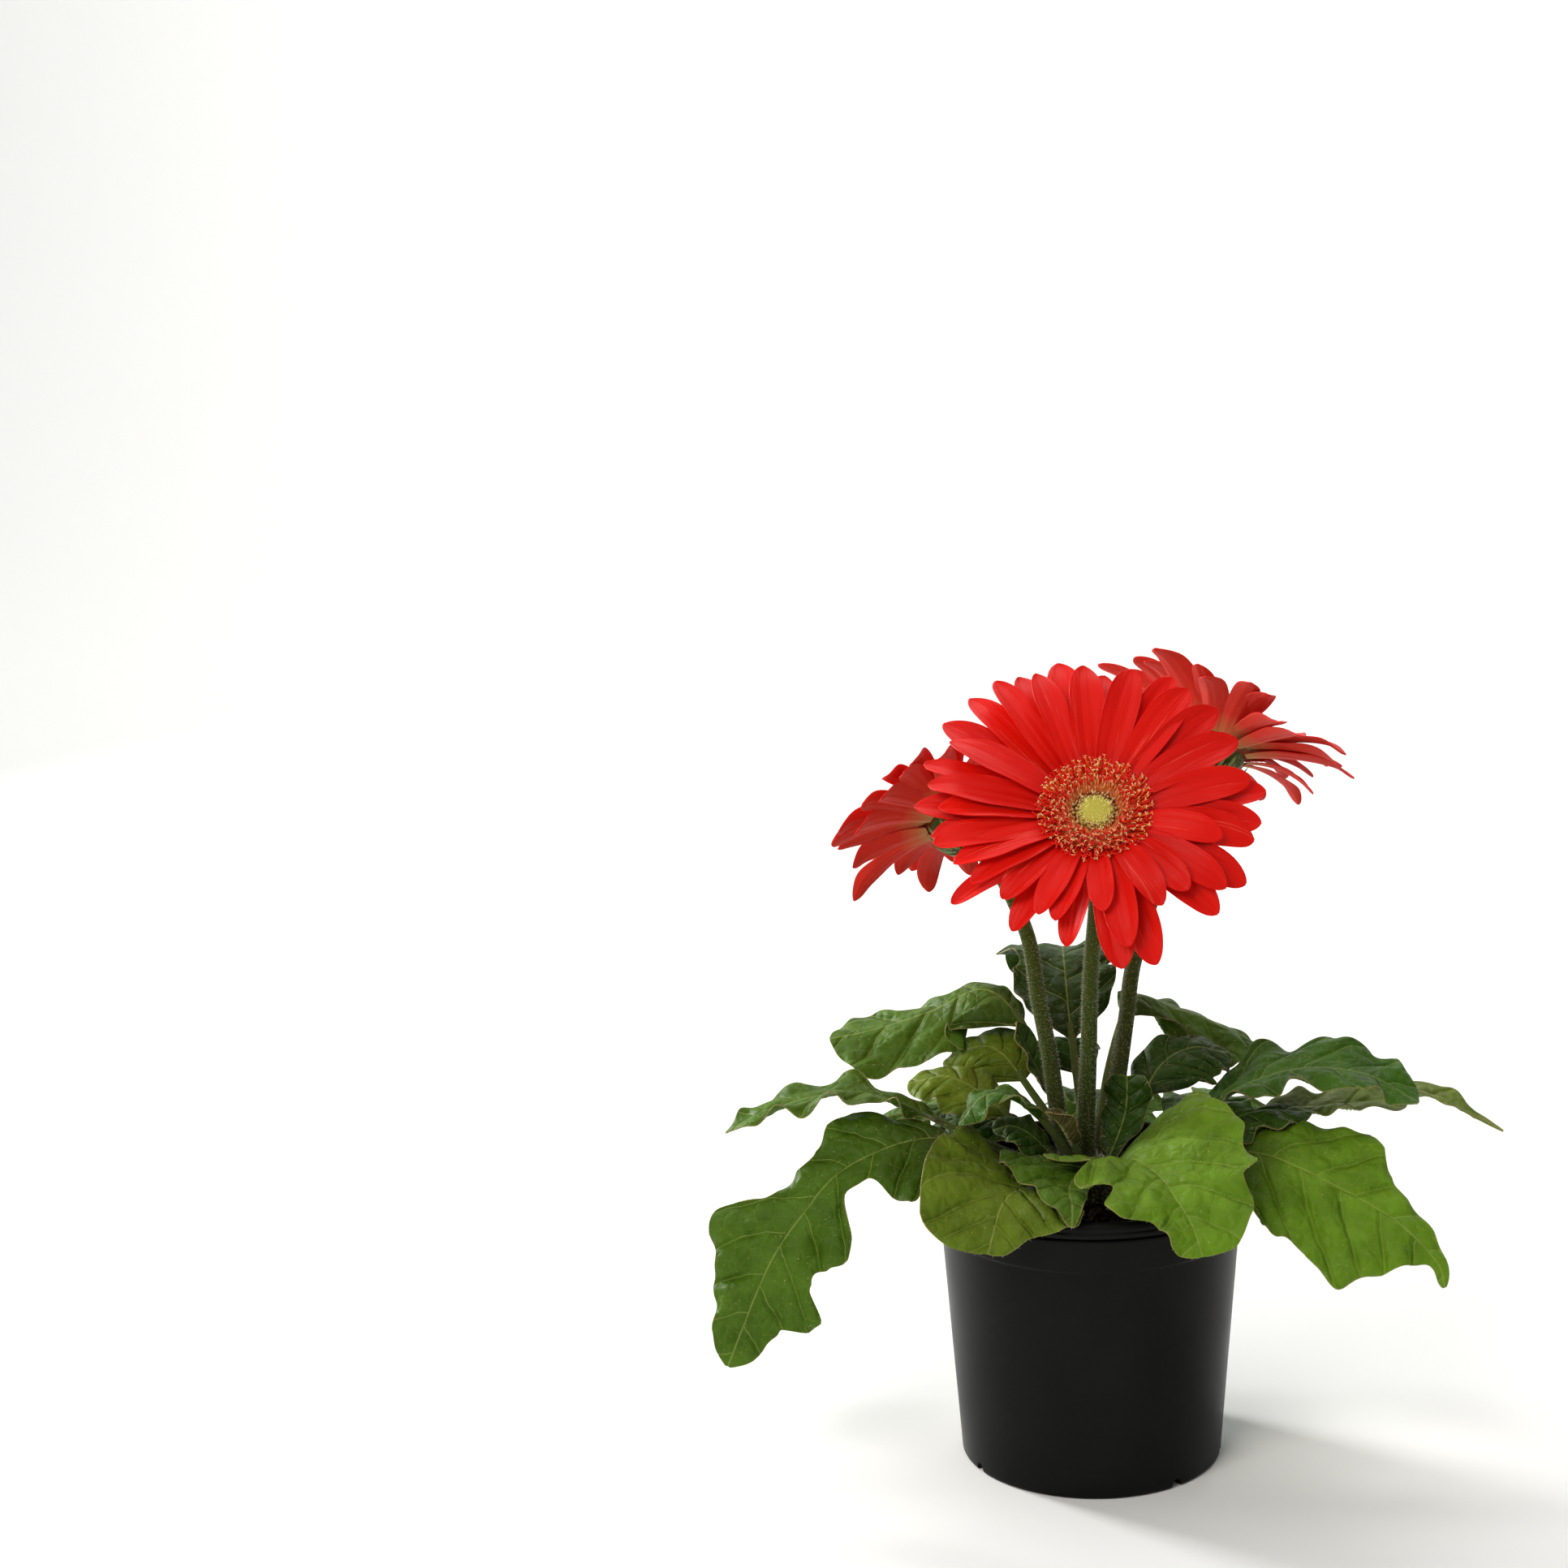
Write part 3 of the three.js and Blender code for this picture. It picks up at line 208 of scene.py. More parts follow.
def leaf_material(name, dull, vein, vein_share, roughness, gloss):
    made, tree, shader = finish_of(
        name, Roughness=roughness, IOR=1.4, Specular_IOR_Level=gloss,
        Subsurface_Weight=0.06, Subsurface_Scale=SKIN_DEEP, Subsurface_Radius=(0.5, 1.0, 0.15),
    )
    solid = add(tree, "ShaderNodeTexCoord", out="Object")
    tint = add(tree, "ShaderNodeAttribute", out="Color", attribute_name="leaf_tint")
    place = add(tree, "ShaderNodeAttribute", out="Vector", attribute_name="leaf_mm")
    from_rib, passed, from_margin = add(tree, "ShaderNodeSeparateXYZ", [place]).node.outputs

    # mottling, duller patches some 12 mm wide
    patch = add(tree, "ShaderNodeTexNoise", {"Vector": solid, "Scale": spots(11.765), "Detail": 3})
    patch = add(tree, "ShaderNodeValToRGB", [patch], stops=[(0.35, 0.0), (0.7, 0.5)])
    body = add(
        tree, "ShaderNodeMix", {SHARE: patch, UNDER: tint, OVER: dull}, BLEND,
        data_type="RGBA", blend_type="OVERLAY",
    )

    # side veins, from the fraction of the count; 0.5 is on a vein, and small noise keeps them uneven
    wobble = add(tree, "ShaderNodeTexNoise", {"Vector": solid, "Scale": spots(13.333), "Detail": 2})
    wobble = add(tree, "ShaderNodeMath", [wobble, VEIN_WOBBLE, -VEIN_WOBBLE / 2], operation="MULTIPLY_ADD")
    count = add(tree, "ShaderNodeMath", [passed, wobble], operation="ADD")
    count = add(tree, "ShaderNodeMath", [count], operation="FRACT")
    off = add(tree, "ShaderNodeMath", [count, 0.5], operation="SUBTRACT")
    off = add(tree, "ShaderNodeMath", [off], operation="ABSOLUTE")
    side_vein = add(tree, "ShaderNodeValToRGB", [off], stops=[(0.005, 0.9), (0.018, 0.0)])

    # the midrib, and the net of small veins round cells some 5 mm wide
    from_rib = add(tree, "ShaderNodeMath", [from_rib], operation="ABSOLUTE")
    midrib = add(tree, "ShaderNodeMapRange", {"Value": from_rib, **MIDRIB})
    cells = {"Vector": solid, "Scale": spots(5.263)}
    cells = add(tree, "ShaderNodeTexVoronoi", cells, feature="DISTANCE_TO_EDGE")
    net = add(tree, "ShaderNodeValToRGB", [cells], stops=[(0.0, 0.2), (0.03, 0.0)])
    lines = add(tree, "ShaderNodeMath", [side_vein, midrib], operation="MAXIMUM")
    lines = add(tree, "ShaderNodeMath", [lines, net], operation="MAXIMUM")
    lines = add(tree, "ShaderNodeMath", [lines, vein_share], operation="MULTIPLY")
    body = add(tree, "ShaderNodeMix", {SHARE: lines, UNDER: body, OVER: vein}, BLEND, data_type="RGBA")

    # stiff glandular hairs show as pale flecks under a millimetre wide
    fleck = add(tree, "ShaderNodeTexNoise", {"Vector": solid, "Scale": spots(0.9091), "Detail": 1})
    fleck = add(tree, "ShaderNodeValToRGB", [fleck], stops=[(0.7, 0.0), (0.78, 0.4)])
    body = add(tree, "ShaderNodeMix", {SHARE: fleck, UNDER: body, OVER: HAIR_FLECK}, BLEND, data_type="RGBA")

    # the margin, a thread about 0.3 mm wide
    edge = add(tree, "ShaderNodeMapRange", {"Value": from_margin, **MARGIN})
    body = add(tree, "ShaderNodeMix", {SHARE: edge, UNDER: body, OVER: MARGIN_TAN}, BLEND, data_type="RGBA")

    # relief: soft blisters some 8 mm wide, low pads between the small veins, grooves along the big ones
    blister = add(tree, "ShaderNodeTexNoise", {"Vector": solid, "Scale": spots(8), "Detail": 1})
    pads = add(tree, "ShaderNodeValToRGB", [cells], stops=[(0.0, 0.0), (0.3, 0.18), (0.6, 0.25)])
    groove = add(tree, "ShaderNodeValToRGB", [off], stops=[(0.0, 0.36), (0.14, 0.0)])
    height = add(tree, "ShaderNodeMath", [pads, groove], operation="SUBTRACT")
    height = add(tree, "ShaderNodeMath", [height, blister], operation="ADD")
    relief = add(tree, "ShaderNodeBump", {"Height": height, "Distance": LEAF_RELIEF * MM, "Strength": 0.64})
    join(shader, {"Base Color": body, "Normal": relief})
    return made


LEAF_FACE = leaf_material("leaf_upper_side", "#6A7018", "#A2AE5A", 0.44, 0.5, 0.15)
LEAF_BACK = leaf_material("leaf_back", "#A0A868", "#B8BE80", 0.55, 0.65, 0.15)
print("leaf materials:", LEAF_FACE.name, "and", LEAF_BACK.name)

# %% [markdown]
# ## Stem, down and crown
# Stems and petioles are green flesh with fine lengthwise ridges. Towards the crown they turn darker and
# browner, which is painted shade from the leaves over them.
# They look grey at their edges because they are covered with down: thousands of pale hairs, about a
# millimetre long. A sheen alone could hint at them, but only real hairs fray the outline. So they are
# meshes later on, and here they get a pale, dry finish that lets a little light in. The crown is the
# same flesh, brown and rough.

# %% Flesh and down
RIDGE_WIDE = 0.9091  # mm
RIDGE_STRETCH = 0.04  # how little a ridge changes on its way up
RIDGE_DEEP = 0.2  # mm
RIDGE_GREEN = "#5A6420"
HAIR_SKIN_DEEP = 0.4 * MM


def flesh_material(name, dark, plain, low, high):
    """Green flesh with painted shade: it darkens from height high down to low, in metres."""
    made, tree, shader = finish_of(
        name, Roughness=0.6, IOR=1.4, Specular_IOR_Level=0.16, Sheen_Weight=0.05, Sheen_Roughness=0.5
    )
    solid = add(tree, "ShaderNodeTexCoord", out="Object")
    height = add(tree, "ShaderNodeSeparateXYZ", [solid], out="Z")
    rise = add(tree, "ShaderNodeMapRange", {"Value": height, "From Min": low, "From Max": high})
    green = add(tree, "ShaderNodeMix", {SHARE: rise, UNDER: dark, OVER: plain}, BLEND, data_type="RGBA")
    upright = add(tree, "ShaderNodeMapping", {"Vector": solid, "Scale": (1, 1, RIDGE_STRETCH)})
    ridges = add(tree, "ShaderNodeTexNoise", {"Vector": upright, "Scale": spots(RIDGE_WIDE), "Detail": 3})
    pale = add(tree, "ShaderNodeValToRGB", [ridges], stops=[(0.35, 0.0), (0.75, 0.3)])
    body = add(tree, "ShaderNodeMix", {SHARE: pale, UNDER: green, OVER: RIDGE_GREEN}, BLEND, data_type="RGBA")
    relief = add(tree, "ShaderNodeBump", {"Height": ridges, "Distance": RIDGE_DEEP * MM, "Strength": 0.6})
    join(shader, {"Base Color": body, "Normal": relief})
    return made


# all three darken towards their low end: painted shade under the leaves
STEM_FLESH = flesh_material("stem_flesh", "#161A06", "#364409", 0.10, 0.19)
PETIOLE_FLESH = flesh_material("petiole_flesh", "#242412", "#425020", 0.098, 0.125)
CROWN_FLESH = flesh_material("crown_flesh", "#2A2014", "#44401F", 0.092, 0.112)
DOWN, *_ = finish_of(
    "pale_down", Base_Color="#DAD8BE", Roughness=0.6, IOR=1.5,
    Subsurface_Weight=0.3, Subsurface_Scale=HAIR_SKIN_DEEP,
)
print("flesh materials:", STEM_FLESH.name, PETIOLE_FLESH.name, CROWN_FLESH.name, DOWN.name)

# %% [markdown]
# ## Florets, buds and bracts
# The disc is hundreds of tiny florets. The open ones push out orange styles with pale, curled tips, and
# between them stand short red lips. The eye in the middle is unopened buds, yellow-green, with a ring of
# brown buds round it. Each small piece carries `tip`, 0 at its root and 1 at its end, so one ramp can
# colour thousands of them, and `tone`, a number of its own that shifts it lighter or darker.

# %% Small flower parts
def floret_material(name, stops, dark, roughness=0.5):
    made, tree, shader = finish_of(
        name, Roughness=roughness, IOR=1.4, Subsurface_Weight=0.15, Subsurface_Scale=SKIN_DEEP
    )
    tip = add(tree, "ShaderNodeAttribute", out="Fac", attribute_name="tip")
    tone = add(tree, "ShaderNodeAttribute", out="Fac", attribute_name="tone")
    along = add(tree, "ShaderNodeValToRGB", [tip], stops=stops)
    shade = add(tree, "ShaderNodeValToRGB", [tone], stops=[(0.0, 0.5), (0.7, 0.0)])
    body = add(tree, "ShaderNodeMix", {SHARE: shade, UNDER: along, OVER: dark}, BLEND, data_type="RGBA")
    join(shader, {"Base Color": body})
    return made


STYLE = floret_material(
    "style_orange", [(0.0, "#C8280E"), (0.5, "#FA641A"), (0.76, "#FF9E34"), (0.92, "#FFE2A0")], "#E8460E"
)
LIP = floret_material("lip_red", [(0.0, "#DC3814"), (0.5, "#F02412"), (1.0, "#F63422")], "#D01A0C")
ANTHER = floret_material("anther_orange", [(0.0, "#E8702A"), (0.6, "#FFA83C"), (1.0, "#FFF0C0")], "#D8480E")
BUD = floret_material("bud_yellow_green", [(0.0, "#A0962A"), (0.5, "#F4EC60"), (1.0, "#FFFFB8")], "#CCC23C")
RIM_BUD = floret_material("bud_brown", [(0.0, "#5E2210"), (0.6, "#8E4424"), (0.95, "#FFDC98")], "#6E2C14")
DOME_FLESH = floret_material("eye_flesh", [(0.0, "#BAB040"), (1.0, "#BAB040")], "#BAB040", 0.7)
DISC_FLESH = floret_material("disc_flesh", [(0.0, "#B03812"), (1.0, "#D98A48")], "#9C2C0E", 0.7)
BRACT = floret_material(
    "bract_green", [(0.0, "#5A6B34"), (0.75, "#6F7F42"), (1.0, "#6A4A34")], "#4B5C2C", 0.6
)
print("flower parts:", STYLE.name, LIP.name, ANTHER.name, BUD.name, RIM_BUD.name, BRACT.name)

# %% [markdown]
# ## Pot and peat
# The pot is injection-moulded polypropylene, black with a satin skin: hardly any colour, a broad soft
# highlight and very shallow unevenness from the cooling mould. Peat is a dark, matt crumb with hardly any
# gloss, and here and there a white grain of expanded perlite. None of them has lines that follow its
# form, so noise of the right width on Object coordinates is enough, and no UV map is needed.

# %% Plastic, peat and perlite
SKIN_RELIEF, LUMP_RELIEF = 0.03 * MM, 1.2 * MM

POLYPROPYLENE, tree, shader = finish_of("moulded_polypropylene", IOR=1.4, Specular_IOR_Level=0.09)
solid = add(tree, "ShaderNodeTexCoord", out="Object")
drift = add(tree, "ShaderNodeTexNoise", {"Vector": solid, "Scale": spots(33.333), "Detail": 3})
black = add(tree, "ShaderNodeValToRGB", [drift], stops=[(0.3, "#0F100E"), (0.7, "#151614")])
satin = add(tree, "ShaderNodeValToRGB", [drift], stops=[(0.3, 0.3), (0.7, 0.4)])
skin = add(tree, "ShaderNodeTexNoise", {"Vector": solid, "Scale": spots(0.71429), "Detail": 2})
relief = add(tree, "ShaderNodeBump", {"Height": skin, "Distance": SKIN_RELIEF, "Strength": 0.5})
join(shader, {"Base Color": black, "Roughness": satin, "Normal": relief})

PEAT, tree, shader = finish_of("moist_peat", Roughness=0.95, Specular_IOR_Level=0.15)
solid = add(tree, "ShaderNodeTexCoord", out="Object")
lump = {"Vector": solid, "Scale": spots(2.381), "Detail": 6, "Roughness": 0.7}
lump = add(tree, "ShaderNodeTexNoise", lump)
brown = add(tree, "ShaderNodeValToRGB", [lump], stops=[(0.3, "#150E0A"), (0.5, "#2C1F16"), (0.72, "#4A3626")])
relief = add(tree, "ShaderNodeBump", {"Height": lump, "Distance": LUMP_RELIEF})
join(shader, {"Base Color": brown, "Normal": relief})

PERLITE, *_ = finish_of("perlite", Base_Color="#DAD7CC", Roughness=0.9, Specular_IOR_Level=0.2)
print("pot and soil:", POLYPROPYLENE.name, PEAT.name, PERLITE.name)

# %% [markdown]
# ## Curves through the solids' own points
# Leaves and stems follow the same smooth curve as their solids: a Catmull-Rom curve through a few
# points, read by arc length. It is written here once, in numpy, so that a whole row of places is read
# in one call. `draw` is the repeatable random number that the solids use too.

# %% The curve
CURVE_STEP = 1e-4  # share of a curve over which its direction is read
NEAR_END = 1 - CURVE_STEP


def unit(v):
    return v / np.linalg.norm(v, axis=-1, keepdims=True)


class Spine:
    """A Catmull-Rom curve through points, read by the share of its length."""

    def __init__(self, points):
        p = np.array(points, float)
        self.points = np.vstack([2 * p[0] - p[1], p, 2 * p[-1] - p[-2]])
        self.steps = np.linspace(0, 1, 201)
        reach = np.linalg.norm(np.diff(self.read(self.steps), axis=0), axis=1)
        self.lengths = np.concatenate([[0], np.cumsum(reach)])

    def read(self, t):
        spans = len(self.points) - 3
        s = np.clip(t, 0, 1) * spans
        i = np.minimum(s.astype(int), spans - 1)
        w = (s - i)[:, None]
        before, start, end, after = (self.points[i + k] for k in range(4))
        t0, t1 = (end - before) / 2, (after - start) / 2
        cubic = 2 * start - 2 * end + t0 + t1
        square = 3 * end - 3 * start - 2 * t0 - t1
        return start + t0 * w + square * w**2 + cubic * w**3

    def share(self, u):
        return np.interp(np.asarray(u, float) * self.lengths[-1], self.lengths, self.steps)

    def at(self, u):
        return self.read(self.share(np.atleast_1d(u)))

    def tangent(self, u):
        t = self.share(np.atleast_1d(u))
        return unit(self.read(np.minimum(t + CURVE_STEP, 1)) - self.read(np.maximum(t - CURVE_STEP, 0)))


straight = Spine([[0, 0, 0], [0, 0, 50], [0, 0, 100]])
print("curves ready; a straight test curve is", straight.lengths[-1], "mm long")

# %% Directions, profiles and random draws
def square_to(tangent, direction):
    """A direction made square to each tangent."""
    direction = np.broadcast_to(direction, tangent.shape)
    return unit(direction - tangent * (direction * tangent).sum(-1, keepdims=True))


def draw(seed, index):
    """A repeatable number from 0 to 1 for two whole numbers."""
    s = np.sin(seed * 127.1 + index * 311.7) * 43758.5453
    return s - np.floor(s)


def mix(low, high, share):
    return low + (high - low) * share


def ease(t, low, high):
    """0 below low, 1 above high and smooth between."""
    s = np.clip((t - low) / (high - low), 0, 1)
    return s * s * (3 - 2 * s)


def smooth_rows(rows, column, t):
    """A smooth reading of [t, a, b] rows that never overshoots them."""
    rows = np.array(rows, float)
    x, y = rows[:, 0], rows[:, column]
    step = np.diff(x)
    rate = np.diff(y) / step
    slope = np.concatenate([[rate[0]], np.zeros(len(x) - 2), [rate[-1]]])
    same = rate[:-1] * rate[1:] > 0
    slope[1:-1][same] = 2 * (rate[:-1] * rate[1:])[same] / (rate[:-1] + rate[1:])[same]
    i = np.clip(np.searchsorted(x, t) - 1, 0, len(step) - 1)
    s = (t - x[i]) / step[i]
    a, b = slope[i] * step[i], slope[i + 1] * step[i]
    rise = y[i + 1] - y[i]
    return y[i] + a * s + (3 * rise - 2 * a - b) * s**2 + (a + b - 2 * rise) * s**3


hill = [[0, 0], [0.5, 1], [1, 0]]
print("a quarter of the way along a hill it is", smooth_rows(hill, 1, np.array([0.25]))[0], "high")

# %% [markdown]
# ## Sheets and tubes
# Leaves, petals, stems and petioles are all lofts: rings of points joined to the next ring, with a cap
# at each end. A sheet is a loft too, whose ring runs over the upper side and back under the lower one,
# so it has a real thickness and a closed edge. A Solidify modifier could thicken a sheet too, but its
# changing thickness would have to come from a vertex group, and here it is a formula beside the form.
# One class gathers such lofts with their attributes and turns them into a single mesh.

# %% The loft builder
ATTRIBUTE_KINDS = {1: ("FLOAT", "value"), 3: ("FLOAT_VECTOR", "vector"), 4: ("FLOAT_COLOR", "color")}
SHARP_FROM = 55  # degrees between faces that shows as a hard edge


class Lofts:
    """Collects lofted shells and makes one mesh of them."""

    def __init__(self):
        self.points, self.faces, self.slots, self.uv = [], [], [], []
        self.attributes = {}
        self.count = 0

    def add(self, rings, slots, **attributes):
        """rings: (n, k, 3) points in mm, k even. slots: the material number of each of the k strips."""
        n, k, _ = rings.shape
        i = np.arange(n - 1)[:, None] * k
        j = np.arange(k)[None, :]
        after = (j + 1) % k
        quads = np.stack([i + j, i + after, i + k + after, i + k + j], -1).reshape(-1, 4)
        m = np.arange(k // 2 - 1)
        foot = np.stack([m, k - 1 - m, k - 2 - m, m + 1], -1)
        end = np.stack([m, m + 1, k - 2 - m, k - 1 - m], -1) + (n - 1) * k
        self.faces.append(np.vstack([quads, foot, end]) + self.count)
        self.slots.append(np.concatenate([np.tile(slots, n - 1), np.full(2 * len(m), slots[0])]))
        across, along = np.meshgrid(np.linspace(0, 1, k), np.linspace(0, 1, n))
        self.uv.append(np.stack([across, along], -1).reshape(-1, 2))
        self.points.append(rings.reshape(-1, 3))
        for name, values in attributes.items():
            shaped = np.broadcast_to(values, (n, k)) if np.ndim(values) < 3 else values
            self.attributes.setdefault(name, []).append(shaped.reshape(n * k, -1))
        self.count += n * k

    def mesh(self, name, *materials):
        made = bpy.data.meshes.new(name)
        faces = np.vstack(self.faces)
        made.from_pydata((np.vstack(self.points) * MM).tolist(), [], faces.tolist())
        made.polygons.foreach_set("material_index", np.concatenate(self.slots).astype(np.int32))
        made.polygons.foreach_set("use_smooth", np.ones(len(faces), bool))
        uv = made.uv_layers.new(name="sheet")
        uv.data.foreach_set("uv", np.vstack(self.uv)[faces.ravel()].ravel())
        for label, parts in self.attributes.items():
            values = np.vstack(parts)
            kind, field = ATTRIBUTE_KINDS[values.shape[1]]
            attribute = made.attributes.new(label, kind, "POINT")
            attribute.data.foreach_set(field, values.astype(np.float32).ravel())
        for material in materials:
            made.materials.append(material)
        made.set_sharp_from_angle(angle=math.radians(SHARP_FROM))
        return made


def two_sides(k):
    """Material numbers of a sheet's strips: k - 1 on its face, k - 1 on its back, and its two edges."""
    return np.array([0] * k + [1] * (k - 1) + [0])


def one_side(sides):
    return np.zeros(sides, int)


print("loft builder ready for", len(ATTRIBUTE_KINDS), "kinds of attribute")

# %% Tubes, and a way into the scene
def tube(spine, end, radius, profile, across, sides, rings):
    """Rings along a spine up to the share `end`, of size radius(t) and form profile(angle, u)."""
    u = np.linspace(0, end, rings)
    tangent = spine.tangent(np.minimum(u, NEAR_END))
    side = square_to(tangent, np.array(across, float))
    lift = np.cross(side, tangent)
    angle = math.pi - (np.arange(sides) + 0.5) * 2 * math.pi / sides
    r = radius(np.linspace(0, 1, rings))[:, None] * profile(angle, u[:, None])
    ring = side[:, None] * np.cos(angle)[None, :, None] + lift[:, None] * np.sin(angle)[None, :, None]
    return spine.at(u)[:, None] + ring * r[..., None]


def put(name, mesh, slot, *nodes, stand=Matrix()):
    """Puts a mesh in the scene, stood by a matrix: it rides the plant and stands for the solids named."""
    mesh.transform(stand)
    piece = bpy.data.objects.new(name, mesh)
    bpy.context.scene.collection.objects.link(piece)
    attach(piece, "root")
    if nodes:
        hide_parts(*nodes)
    return piece


rod = tube(straight, 1, lambda t: 1 + 0 * t, lambda angle, u: 1 + 0 * angle, (1, 0, 0), 8, 3)
print("a test rod has", rod.shape[0], "rings of", rod.shape[1], "points")

# %% [markdown]
# ## Leaves
# Each leaf has its own outline, so each is a table entry, the same as its solid's: a spine from the crown
# to the tip, the half widths to its left and right (a peak is a lobe, a dip is a cut), the share of the
# spine that is bare petiole, how far the halves fold or droop, how the blade banks, how its margin waves,
# and for one leaf how far its margins curl up. `tone` names its green: old ones olive, leaves in the open
# brighter and yellower, which is painted light, and those deep in the rosette dark, which is painted shade.

# %% Leaf greens
# sunlit and shaded are one leaf green with painted light and painted shade in it
TONES = {
    "sunlit": "#688E1E",
    "open": "#4A6A16",
    "young": "#3C6216",
    "old": "#62781C",
    "shaded": "#2C4812",
    "turned": "#6C7E34",
    "unopened": "#54502C",
}
print(len(TONES), "greens")

